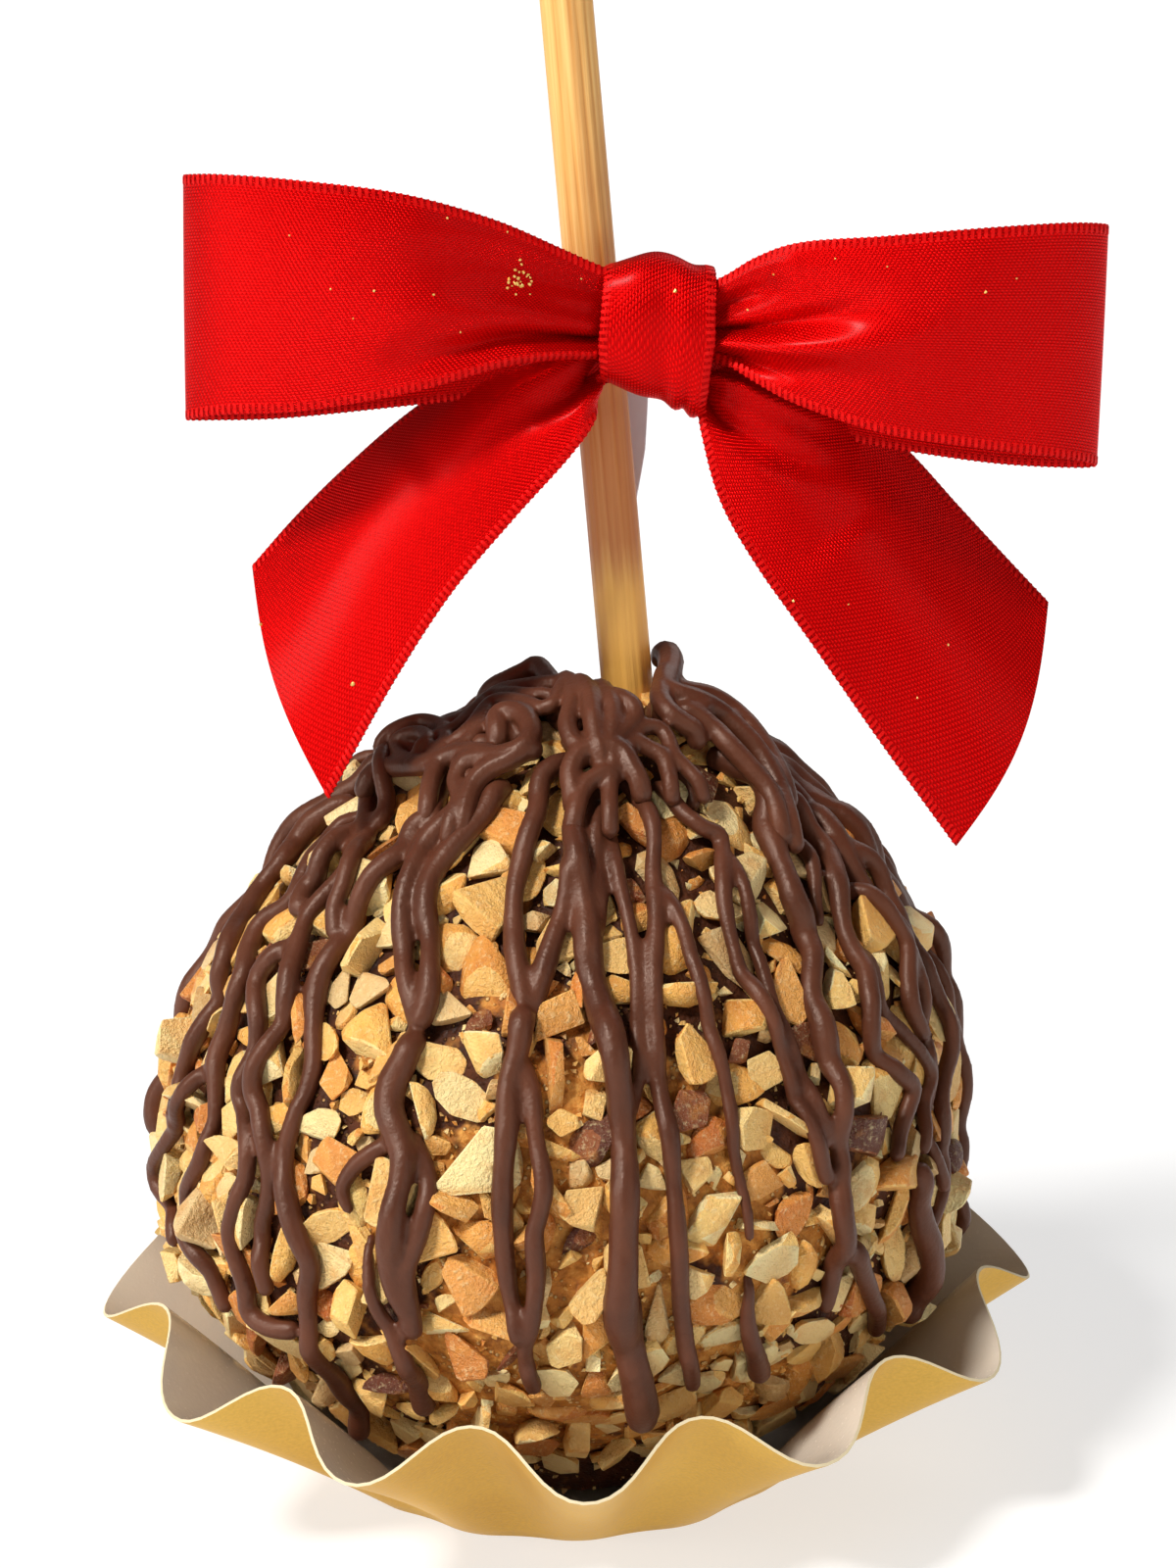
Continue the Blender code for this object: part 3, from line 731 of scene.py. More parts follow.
strands = {
    "voxel": 0.35, "spacing": 0.5, "sag": 0.42, "plump": 0.44, "smoothing": 5,
    # width at the start and the end in mm, then (degrees from the front to the right, mm down from the crown)
    "front": (
        (2.5, 1.7, ((-95, 29), (-94.5, 33), (-93, 36.5), (-88, 38.5), (-86, 42), (-80, 45), (-73, 48.5), (-72, 52.5),
                    (-71.5, 55.5), (-72, 59), (-73, 62.5), (-71.5, 66), (-68.5, 68))),
        (1.5, 1.5, ((-64, 58.5), (-65.5, 62), (-69, 66.5), (-72.5, 70.5), (-77, 75), (-74.5, 77.5), (-69.5, 79), (-67, 81))),
        (1.9, 1.7, ((-77.5, 28), (-77.5, 31.5), (-74, 34), (-69.5, 36.5), (-68, 39.5), (-71, 43.5), (-68.5, 46.5),
                    (-64, 49.5), (-64, 57), (-62, 60.5), (-60, 64.5), (-60.5, 69.5), (-63.5, 74), (-61, 76.5),
                    (-56, 79.5), (-54.5, 82), (-52.5, 85))),
        (2.0, 1.7, ((-66.5, 30.5), (-58.5, 33.5), (-57.5, 37), (-57.5, 40.5), (-54, 44), (-50, 48.5), (-49, 53.5),
                    (-49.5, 57.5), (-49, 59.5), (-46.5, 61.5), (-44, 65), (-43.5, 69.5), (-44.5, 73), (-43.5, 76.5),
                    (-42.5, 80.5))),
        (1.8, 2.3, ((-70.5, 28.5), (-66, 32), (-63.5, 35.5), (-64, 38), (-60, 41))),
        (1.8, 1.7, ((-56, 43.5), (-57.5, 46), (-59, 48.5), (-54.5, 52), (-53.5, 55.5), (-54, 59), (-53.5, 61),
                    (-49, 63.5), (-47, 66.5), (-48, 72), (-48.5, 74.5), (-46.5, 79.5), (-46, 83), (-42.5, 84), (-38, 84))),
        (2.0, 1.8, ((-96, 22.5), (-88, 25.5), (-72.5, 28), (-58.5, 31.5), (-53, 35), (-51.5, 38.5), (-48.5, 41.5))),
        (1.8, 1.6, ((-92, 21), (-76, 23.5), (-67, 26), (-63, 29))),
        (1.9, 2.0, ((-42.5, 16), (-53.5, 18), (-57, 20), (-49.5, 23), (-43.5, 25.5), (-45.5, 27.5), (-43.5, 31),
                    (-45, 34), (-47, 39), (-47, 43), (-46.5, 47), (-43.5, 51.5), (-41, 55.5), (-41, 60.5), (-41.5, 64),
                    (-40, 67.5), (-37, 72), (-35, 75.5), (-36, 80.5), (-36, 91), (-36, 96), (-39, 102))),
        (2.1, 2.1, ((-44, 19), (-37, 22.5), (-36.5, 26), (-38.5, 29), (-37, 32.5), (-35, 37), (-31, 42), (-26.5, 46.5),
                    (-24.5, 49))),
        (2.1, 2.1, ((-30.5, 19.5), (-29, 24), (-31, 28), (-32.5, 31.5), (-31, 35.5), (-26.5, 40.5), (-24, 45), (-24.5, 49))),
        (2.9, 2.3, ((-24.5, 49), (-25, 52.5), (-26, 55), (-25.5, 57.5), (-23, 60.5), (-21.5, 63), (-21.5, 67.5),
                    (-22, 73), (-21.5, 76), (-19.5, 79.5))),
        (1.6, 1.9, ((-22.5, 60), (-19.5, 62.5), (-18, 66), (-18.5, 70), (-20, 74), (-20, 78), (-19.5, 82))),
        (0.8, 2.3, ((-26.5, 71), (-25.5, 74.5), (-24, 79), (-22, 82), (-20.5, 86), (-21.5, 94))),
        (2.0, 0.9, ((-23.5, 60), (-25.5, 61.5), (-28.5, 63.5), (-30, 65.5), (-30, 67), (-28.5, 69))),
        (1.9, 2.0, ((-6, 16), (-13, 18), (-15.5, 20), (-13, 24), (-13.5, 28.5), (-13.5, 32), (-12, 37), (-9.5, 42),
                    (-7.5, 46))),
        (2.0, 1.9, ((-1.5, 29), (-2, 33.5), (-4, 38.5), (-5.5, 43), (-6.5, 47))),
        (2.3, 1.6, ((-7.5, 46), (-7.5, 50), (-8.5, 54), (-8, 59), (-8, 65), (-7.5, 71), (-6.5, 76), (-5, 81.5))),
        (1.6, 1.6, ((-7.5, 51), (-5, 55), (-4, 59.5), (-2.5, 64), (-3, 67.5), (-3.5, 69.5), (-3, 74), (-3.5, 79),
                    (-4.5, 82.5), (-3.5, 88.5))),
        (2.3, 3.1, ((3, 19), (-2, 21.5), (-2.5, 25), (-0.5, 29.5), (2, 35.5), (3, 41.5), (5.5, 48), (7, 53.5), (8, 59.5),
                    (8, 66), (8, 72.5), (8, 79), (9.5, 84.5), (11.5, 94))),
        (1.5, 1.3, ((6.5, 21), (4, 25), (4, 30), (5, 35), (3.5, 39.5))),
        (1.0, 2.1, ((10, 76.5), (10.5, 82.5), (12.5, 93))),
        (1.3, 1.3, ((6.5, 21), (7.5, 26), (9, 31.5), (10.5, 37), (11, 43), (10.5, 48.5), (10.5, 53), (9, 57.5))),
        (1.6, 1.6, ((10.5, 18.5), (16, 21), (18.5, 26), (17, 31.5), (16, 36.5), (14, 42.5), (13.5, 48.5), (13.5, 55),
                    (14.5, 61), (15, 67.5), (15.5, 73), (16.5, 79.5), (19, 90.5))),
        (1.6, 0.8, ((18, 32), (20, 37), (21, 42.5), (22, 49), (23.5, 55.5), (24, 62), (25, 67.5), (25.5, 72.5))),
        (0.7, 2.3, ((26, 76), (26, 78.5), (26.5, 83), (30, 91))),
        (1.5, 1.6, ((29.5, 18.5), (35, 21), (34, 24))),
        (1.6, 1.3, ((23.5, 19.5), (27.5, 23.5), (32, 27), (36.5, 28.5), (33, 32.5), (30.5, 37), (30, 43.5), (31.5, 49),
                    (33.5, 54), (34.5, 59), (36.5, 65), (38, 68.5))),
        (1.2, 1.2, ((36, 29.5), (36.5, 32.5), (35.5, 38), (35, 43.5), (34.5, 49.5), (35.5, 54), (37, 59), (38.5, 64.5))),
        (2.7, 1.9, ((54, 17), (58, 21.5), (57, 25.5), (52, 29.5), (49.5, 33), (47, 37.5), (48, 40.5), (47, 43.5),
                    (43, 47.5), (41.5, 52), (41, 57.5), (40.5, 61.5), (40.5, 66.5), (39.5, 71.5), (40.5, 76),
                    (40.5, 80.5), (40, 84))),
        (1.8, 1.9, ((42, 75.5), (45, 79.5), (49.5, 85), (54, 89.5), (56, 92))),
        (1.9, 0.8, ((59, 27.5), (60.5, 31), (60, 34), (56.5, 37.5), (52.5, 41.5))),
        (2.3, 1.4, ((70, 25.5), (69, 30.5), (68.5, 34.5), (62.5, 38), (57.5, 43), (56, 47), (52.5, 51), (51, 55.5),
                    (54, 59.5), (57, 62), (54.5, 65), (51.5, 69))),
        (1.4, 1.3, ((59, 45), (58, 48), (56.5, 52), (60, 56), (63, 59.5), (65, 62.5), (61.5, 65), (58.5, 70))),
        (2.5, 1.6, ((79, 29), (74, 35.5), (72.5, 40.5), (72, 45.5), (67, 50), (64, 54), (65.5, 58.5))),
        (2.1, 1.4, ((84, 23), (80, 29), (76, 35.5), (78, 40.5), (75, 46.5), (73.5, 52), (73.5, 57), (71.5, 62.5),
                    (67, 66.5), (67.5, 73.5), (65.5, 78), (64.5, 82))),
        (1.6, 1.3, ((66.5, 39), (68.5, 46), (69, 51.5), (67.5, 56.5), (65.5, 63), (61.5, 68.5), (64.5, 75.5))),
        (2.0, 3.4, ((56, 70), (59, 77), (62, 82), (64, 88), (63, 92))),
    ),
    "backSeed": 5,
    "backFirst": 86, "backLast": 262, "backStep": 6.5,
}

mound = {
    "voxel": 0.26, "smoothing": 3, "dip": 1.6,
    # width at the start and the end, then places in mm; the coils lie on each other
    "coils": (
        (2.3, 2.3, ((-7.0, 3.1, 87.4), (-4.9, 2.2, 88.8), (-3.1, 2.0, 89.7), (-1.9, 1.8, 90.4), (-0.8, -0.6, 89.9),
                    (0.0, -3.4, 89.3))),
        (2.1, 2.1, ((4.0, -7.1, 89.8), (2.1, -6.0, 90.1), (-0.6, -4.8, 89.9), (-3.2, -3.1, 89.2), (-5.7, -1.8, 88.4),
                    (-7.4, -2.6, 87.4), (-8.6, -4.1, 86.7), (-10.3, -4.3, 85.8), (-12.2, -4.0, 85.0))),
        (1.8, 1.8, ((0.9, -7.2, 90.3), (0.2, -10.1, 89.3), (-1.3, -10.3, 88.7), (-2.9, -8.4, 88.8), (-5.0, -6.1, 88.6),
                    (-6.6, -5.0, 88.1), (-7.7, -6.2, 87.3), (-8.6, -8.0, 86.5), (-10.0, -9.3, 85.5), (-11.6, -9.3, 84.5),
                    (-13.2, -8.7, 83.9))),
        (1.6, 1.6, ((-0.6, -7.5, 89.4), (-2.7, -6.2, 89.2), (-4.8, -4.0, 88.8), (-6.8, -2.1, 88.1), (-8.2, -3.7, 87.3),
                    (-9.4, -5.2, 86.4), (-11.0, -6.7, 85.6), (-12.6, -6.4, 84.8))),
        (1.7, 1.7, ((-6.9, -5.9, 87.5), (-7.7, -8.2, 86.6), (-8.5, -10.3, 85.8), (-9.7, -11.0, 85.0), (-11.2, -10.7, 84.2),
                    (-13.2, -9.6, 83.5))),
        (1.9, 1.7, ((-18.5, -2.7, 81.3), (-18.9, -1.8, 82.6), (-17.9, -1.6, 84.0), (-15.9, -1.6, 85.0), (-14.0, -2.0, 85.4),
                    (-12.1, -4.7, 85.4), (-11.6, -8.7, 84.8), (-12.5, -10.3, 83.7), (-14.4, -9.8, 83.0), (-16.4, -6.5, 82.7),
                    (-17.2, -3.4, 83.2), (-16.4, -3.6, 84.2), (-14.6, -4.6, 84.8), (-13.6, -7.2, 84.8), (-14.4, -8.4, 84.0))),
        (2.4, 2.4, ((-20.2, -5.2, 79.8), (-18.7, -5.1, 81.0), (-16.2, -8.0, 82.0), (-13.8, -10.6, 82.8), (-11.9, -11.1, 83.6),
                    (-9.8, -12.0, 84.3))),
        (2.7, 2.4, ((-6.0, -11.4, 86.6), (-6.0, -9.5, 87.6), (-4.6, -9.6, 88.2), (-3.0, -11.3, 87.9), (-2.4, -13.9, 86.9),
                    (-3.2, -15.5, 85.9), (-5.1, -15.4, 85.1), (-7.4, -14.5, 84.5), (-9.5, -13.7, 83.9))),
        (2.5, 2.2, ((-7.0, -14.2, 84.8), (-9.8, -12.0, 84.4), (-11.9, -11.2, 83.5), (-13.0, -13.2, 81.9), (-13.4, -16.0, 80.3))),
        (2.7, 2.3, ((-2.7, -15.5, 85.6), (-4.7, -16.0, 84.7), (-7.0, -16.1, 83.7), (-8.6, -17.0, 82.2), (-9.5, -19.4, 80.1))),
        (2.3, 2.1, ((-9.3, -13.4, 84.0), (-10.4, -15.1, 82.4), (-10.0, -17.6, 81.0), (-10.9, -19.9, 79.2))),
        (2.4, 2.2, ((1.3, -5.4, 90.4), (2.2, -8.8, 90.1), (1.9, -11.7, 89.2), (1.4, -14.1, 88.0), (1.8, -16.0, 86.7),
                    (2.7, -17.0, 85.8))),
        (2.5, 2.3, ((2.8, -7.7, 90.6), (3.8, -11.2, 90.1), (4.0, -14.1, 88.8), (4.3, -16.1, 87.2), (4.7, -17.5, 85.8))),
        (2.4, 2.2, ((4.9, -8.1, 90.1), (5.9, -11.5, 89.7), (6.2, -14.0, 88.4), (6.0, -15.9, 87.1), (5.7, -17.3, 85.7))),
        (2.2, 2.1, ((4.8, -10.5, 89.8), (6.7, -11.0, 89.9), (8.1, -12.1, 89.4), (8.5, -13.2, 88.4), (7.7, -14.5, 87.5),
                    (6.6, -16.0, 86.6))),
        (2.5, 2.4, ((1.8, -20.6, 82.3), (1.6, -19.1, 84.0), (2.4, -17.7, 85.4), (3.9, -16.9, 86.1), (5.5, -16.9, 86.3),
                    (7.1, -17.3, 85.6), (7.9, -18.4, 84.4), (8.7, -19.4, 82.9))),
        (2.0, 1.9, ((6.1, -17.4, 85.5), (6.0, -18.8, 84.0), (5.6, -20.3, 82.3), (5.6, -22.6, 80.5))),
        (2.2, 2.2, ((5.9, -18.8, 83.9), (4.0, -19.5, 83.4), (2.7, -20.8, 82.3), (2.0, -22.9, 80.6))),
        (1.9, 1.8, ((7.8, -16.3, 85.6), (8.6, -14.4, 86.7), (9.9, -13.5, 87.3), (11.3, -13.4, 86.8), (12.0, -14.4, 85.8),
                    (12.5, -15.8, 84.6), (13.8, -16.4, 83.3), (15.0, -17.3, 82.0))),
        (2.1, 1.9, ((8.4, -15.4, 86.1), (9.8, -15.8, 85.5), (11.2, -16.3, 84.8), (11.7, -17.1, 83.6), (12.0, -18.5, 82.3))),
        (2.8, 3.0, ((11.6, -9.0, 88.4), (11.9, -6.4, 89.4), (12.3, -3.4, 90.2), (12.6, -0.5, 91.0), (12.4, 1.0, 91.4),
                    (11.9, 2.2, 91.2))),
        (2.6, 2.4, ((11.5, -6.6, 89.7), (11.3, -9.4, 89.1), (12.2, -11.5, 88.1), (13.5, -11.7, 87.1), (14.7, -11.5, 86.1))),
        (2.7, 2.4, ((12.0, -3.4, 90.4), (11.7, -6.2, 89.9), (12.8, -7.8, 89.4), (15.0, -7.9, 88.7), (16.7, -7.4, 87.7), (18.2, -7.0, 86.4))),
        (2.4, 2.2, ((12.6, -2.4, 89.6), (13.7, -4.5, 88.9), (16.6, -3.7, 88.0), (19.1, -3.2, 86.3), (21.2, -4.7, 84.4), (22.9, -6.9, 82.2),
                    (24.2, -9.8, 79.9))),
        (2.6, 2.2, ((14.2, -9.4, 87.8), (16.8, -10.0, 85.9), (18.4, -11.4, 84.5), (20.4, -12.3, 82.4), (22.4, -13.4, 80.1), (23.3, -15.6, 77.7))),
        (2.4, 2.2, ((18.0, -7.0, 86.5), (20.0, -7.9, 84.9), (21.8, -8.8, 82.8), (23.5, -11.1, 80.0), (24.6, -14.6, 76.9))),
        (2.4, 2.2, ((-2.0, 4.0, 86.4), (2.0, 5.6, 86.2), (6.0, 6.4, 86.6), (10.0, 6.0, 86.2), (13.6, 4.0, 86.6), (16.6, 0.0, 86.4))),
        (2.4, 2.0, ((-8.0, 4.0, 84.4), (-4.4, 7.4, 84.6), (1.0, 10.2, 84.0), (6.0, 10.0, 84.6), (11.0, 9.8, 83.8),
                    (15.4, 6.4, 84.2), (18.0, 2.0, 84.0))),
        (2.2, 1.8, ((-12.0, 5.0, 82.0), (-8.4, 9.4, 82.0), (-2.0, 13.8, 81.0), (5.0, 13.6, 81.6), (12.0, 13.8, 80.6),
                    (17.4, 8.6, 81.2), (22.0, 2.0, 80.8))),
    ),
    # low domes that fill in under the coils: place and radius
    "fill": (((-12.6, -2.2, 82.9), 3.6), ((-9.6, -2.4, 84.5), 3.6), ((-6.4, -3.8, 85.7), 3.8), ((-4.2, -9.3, 85.7), 3.0),
             ((-15.0, -3.4, 82.2), 3.0), ((-0.6, -3.8, 87.7), 3.6), ((3.1, -7.4, 87.2), 4.2), ((5.8, -9.4, 86.5), 3.6),
             ((3.9, -12.1, 85.2), 3.4), ((13.4, -5.8, 86.8), 3.8), ((16.6, -4.4, 85.3), 3.6), ((19.5, -5.1, 83.1), 3.4),
             ((21.4, -7.9, 80.3), 3.0), ((15.2, -7.7, 88.2), 1.9), ((6.0, 4.0, 84.6), 4.6)),
}


def chocolate():
    paint = Finish("poured_chocolate")
    broad = paint.noise(160.0, 3.0)
    fine = paint.noise(2200.0, 3.0)
    paint.colour(paint.ramp(broad, [(0.3, linear(74, 38, 24)), (0.7, linear(94, 51, 33))]))
    paint.roughness(paint.span(broad, 0.3, 0.7, 0.38, 0.48))
    paint.fixed(Specular_IOR_Level=0.40, Specular_Tint=(1.0, 0.80, 0.68, 1.0), Subsurface_Weight=0.06, Subsurface_Radius=(0.0010, 0.0004, 0.0002))
    paint.relief(paint.sum("ADD", fine, paint.sum("MULTIPLY", broad, 3.0)), 0.00006)
    return paint.material


def surfaceUnder(pieces):
    points = []
    faces = []
    total = 0
    for piece in pieces:
        own = np.empty(len(piece.data.vertices) * 3)
        piece.data.vertices.foreach_get("co", own)
        points.append(own.reshape(-1, 3) / mm)
        piece.data.calc_loop_triangles()
        faces.append(np.array([t.vertices for t in piece.data.loop_triangles]) + total)
        total += len(piece.data.vertices)
    return BVHTree.FromPolygons(np.vstack(points).tolist(), np.vstack(faces).tolist())


def drape(path, widths, surface):
    # lays a strand over the nuts, sagging a little between them
    degrees = path[:, 0]
    down = path[:, 1]
    start = outline(degrees, down, 9.0)
    way = -outward(degrees, down)
    lift = []
    for p, w in zip(start, way):
        hit = surface.ray_cast(Vector(p), Vector(w), 16.0)
        lift.append(9.0 - hit[3] if hit[0] else -apple["underCoat"])
    lift = np.array(lift)
    reach = 4
    padded = np.pad(lift, reach, mode="edge")
    windows = np.stack([padded[k:k + len(lift)] for k in range(2 * reach + 1)])
    high = windows.max(axis=0)
    mean = windows.mean(axis=0)
    rest = mean + (high - mean) * (1 - strands["sag"])
    weights = np.exp(-np.linspace(-1.6, 1.6, 2 * reach + 1) ** 2)
    padded = np.pad(rest, reach, mode="edge")
    rest = np.convolve(padded, weights / weights.sum(), mode="valid")
    rest = rest - 1.2 * (1 - smoothStep(np.arange(len(rest)) * strands["spacing"], 0.0, 2.5))  # starts tucked in
    return outline(degrees, down, rest + 0.33 * widths)


def tube(points, widths):
    # a closed round strand with rounded ends, from a bevelled curve
    data = bpy.data.curves.new("strand", "CURVE")
    data.dimensions = "3D"
    data.bevel_depth = 1.0
    data.bevel_resolution = 2
    data.use_fill_caps = True
    line = data.splines.new("POLY")
    line.points.add(len(points) - 1)
    run = np.r_[0, np.cumsum(np.linalg.norm(np.diff(points, axis=0), axis=1))]
    for k, point in enumerate(points):
        half = widths[k] / 2
        toEnd = min(run[k], run[-1] - run[k])
        round_ = math.sqrt(max(0.02, 1 - max(0.0, 1 - toEnd / half) ** 2))
        line.points[k].co = (*(Vector(point) * mm), 1.0)
        line.points[k].radius = half * round_ * mm
    piece = bpy.data.objects.new("strand", data)
    bpy.context.scene.collection.objects.link(piece)
    return piece


def meltTogether(pieces, name, voxel, smoothing, limit=190000):
    deselectAll()
    for piece in pieces:
        piece.select_set(True)
    bpy.context.view_layer.objects.active = pieces[0]
    bpy.ops.object.convert(target="MESH")
    bpy.ops.object.join()
    piece = bpy.context.object
    melt = piece.modifiers.new("melt", "REMESH")
    melt.mode = "VOXEL"
    melt.voxel_size = voxel * mm
    melt.adaptivity = 0.0
    relax = piece.modifiers.new("relax", "SMOOTH")
    relax.factor = 0.5
    relax.iterations = smoothing
    applyModifiers(piece)
    count = 2 * len(piece.data.polygons)
    if count > limit:
        thin = piece.modifiers.new("thin", "DECIMATE")
        thin.ratio = limit / count
        applyModifiers(piece)
    makeActive(piece)
    bpy.ops.object.shade_smooth()
    piece.data.materials.clear()
    settle(piece, name)
    print(name, len(piece.data.polygons), "faces")
    return piece


def strandPath(widthStart, widthEnd, places, rng):
    # even steps along a strand, with the small swelling of width that a poured one has
    scaled = np.array([(d * 0.5, s) for d, s in places])
    path = curvePath(scaled, strands["spacing"])
    path[:, 0] *= 2.0
    share = np.linspace(0, 1, len(path))
    widths = widthStart + (widthEnd - widthStart) * share
    swell = np.array([noise.noise(Vector((rng, s * 0.16, 0))) for s in path[:, 1]])
    return path, widths * (1.0 + 0.28 * swell) + strands["plump"]


def backStrands():
    # round the sides and the back the strands run down in loose waves and sometimes meet
    rng = random.Random(strands["backSeed"])
    made = []
    degrees = strands["backFirst"]
    while degrees < strands["backLast"]:
        places = []
        at = degrees + rng.uniform(-2, 2)
        down = rng.choice((9.5, 12, 15, 18)) + rng.uniform(-1, 1)
        end = rng.choice((72, 80, 86, 92, 98))
        lean = rng.uniform(-0.10, 0.10)
        while down < end:
            places.append((at, down))
            down += rng.uniform(3.2, 5.4)
            wander = 110 / (22 + down)
            at += rng.uniform(-wander, wander) + lean
        width = rng.uniform(1.3, 2.3)
        made.append((width, width * rng.uniform(0.7, 1.1), tuple(places)))
        degrees += strands["backStep"] * rng.uniform(0.6, 1.4)
    return made


def makeChocolate(under):
    surface = surfaceUnder(under)
    cover = chocolate()
    made = []
    for name, group in (("drizzle_front", strands["front"]), ("drizzle_back", backStrands())):
        tubes = []
        for k, (widthStart, widthEnd, places) in enumerate(group):
            path, widths = strandPath(widthStart, widthEnd, places, k * 7.3)
            tubes.append(tube(drape(path, widths, surface), widths))
        piece = meltTogether(tubes, name, strands["voxel"], strands["smoothing"])
        piece.data.materials.append(cover)
        made.append(piece)
    tubes = []
    for widthStart, widthEnd, places in mound["coils"]:
        line = np.array(places)
        dip = np.array([0, 0, mound["dip"]])  # both ends dive into the pile
        line = np.vstack([line[0] + (line[0] - line[1]) * 0.5 - dip, line, line[-1] + (line[-1] - line[-2]) * 0.5 - dip])
        path = curvePath(line, 0.5)
        widths = np.linspace(widthStart, widthEnd, len(path))
        tubes.append(tube(path, widths))
    for place, radius in mound["fill"]:
        deselectAll()
        bpy.ops.mesh.primitive_uv_sphere_add(segments=32, ring_count=16, radius=radius * mm, location=Vector(place) * mm)
        bpy.ops.transform.resize(value=(1, 1, 0.55))
        bpy.ops.object.transform_apply(location=True, rotation=True, scale=True)
        tubes.append(bpy.context.object)
    piece = meltTogether(tubes, "drizzle_mound", mound["voxel"], mound["smoothing"])
    piece.data.materials.append(cover)
    made.append(piece)
    return made


# stick

stick = {
    "radius": 2.75, "length": 140.0, "bottom": (11.4, 0.0, 37.5), "lean": math.radians(-3.95),
    "sides": 72, "rings": 90, "chamfer": 0.4,
    "paintedLight": (0.095, 0.099), "paintedShadow": (0.096, 0.101, 0.116, 0.124),  # heights in metres where the painted light on the lower stick and the painted shadow band under the bow begin and end
}


def stickPlace(u, v):
    angle = u * 2 * np.pi
    ring = v * stick["rings"]
    onEnd = np.minimum(ring, stick["rings"] - ring) < 1.5  # the flat end's middle and its rim
    middle = np.clip((ring - 2) / (stick["rings"] - 4), 0, 1)
    along = stick["chamfer"] + middle * (stick["length"] - 2 * stick["chamfer"])
    along = np.where(onEnd, np.where(v > 0.5, stick["length"], 0.0), along)
    groove = (0.030 * np.sin(11 * angle + 1.0) + 0.025 * np.sin(19 * angle + 2.0 + 0.01 * along)
              + 0.02 * np.sin(29 * angle - 0.02 * along))
    radius = stick["radius"] + groove - stick["chamfer"] * onEnd
    radius = np.where((v <= 0) | (v >= 1), 0.0, radius)
    return np.stack([radius * np.sin(angle), -radius * np.cos(angle), along], axis=1) * mm


def bamboo():
    paint = Finish("bamboo_wood")
    turned = paint.mapped(turn=(0, -stick["lean"], 0))
    long_ = paint.add("ShaderNodeMapping")
    long_.inputs["Scale"].default_value = (1.0, 1.0, 0.018)
    paint.join(turned, long_.inputs["Vector"])
    fibre = paint.noise(1500.0, 3.0, 0.6, long_.outputs["Vector"])
    broad = paint.noise(420.0, 2.0, 0.5, long_.outputs["Vector"])
    patches = paint.noise(60.0, 3.0)
    pale = paint.ramp(fibre, [(0.30, linear(204, 134, 60)), (0.46, linear(236, 174, 92)), (0.64, linear(250, 200, 122))])
    deep = paint.mix(paint.span(broad, 0.50, 0.66, 0.0, 0.6), pale, linear(198, 126, 52))
    wood = paint.mix(paint.span(patches, 0.6, 0.75, 0.0, 0.3), deep, linear(196, 122, 60))
    place = paint.add("ShaderNodeSeparateXYZ")
    paint.join(paint.where.outputs["Object"], place.inputs["Vector"])
    slanted = paint.sum("SUBTRACT", place.outputs["Z"], paint.sum("MULTIPLY", place.outputs["X"], 0.5))
    wavy = paint.sum("ADD", slanted, paint.span(broad, 0.3, 0.7, -0.002, 0.002))
    # painted light: the stick below the bow's shadow is made brighter and more golden, as if lit directly
    paintedLight = paint.mix(paint.span(wavy, stick["paintedLight"][1], stick["paintedLight"][0], 0.0, 0.8), wood, linear(255, 194, 92))
    # painted shadow: a darker brown slanted band under the knot, where the bow's shadow falls on the stick
    under = paint.sum("MULTIPLY", paint.span(wavy, stick["paintedShadow"][0], stick["paintedShadow"][1]),
                      paint.span(wavy, stick["paintedShadow"][3], stick["paintedShadow"][2]))
    paint.colour(paint.mix(paint.sum("MULTIPLY", under, 0.62), paintedLight, linear(186, 98, 42)))
    paint.roughness(paint.span(fibre, 0.3, 0.7, 0.42, 0.6))
    paint.relief(paint.sum("ADD", fibre, broad), 0.00012)
    return paint.material


def makeStick():
    piece = wrapGrid("stick", stick["sides"], stick["rings"], stickPlace)
    closeSeams(piece)
    makeActive(piece)
    piece.rotation_euler = (0, stick["lean"], 0)
    piece.location = Vector(stick["bottom"]) * mm
    piece.data.materials.append(bamboo())
    smoothBy(piece, 40)
    settle(piece, "bamboo_stick")
    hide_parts("stick")
    print("stick")
    return piece


# ribbon bow

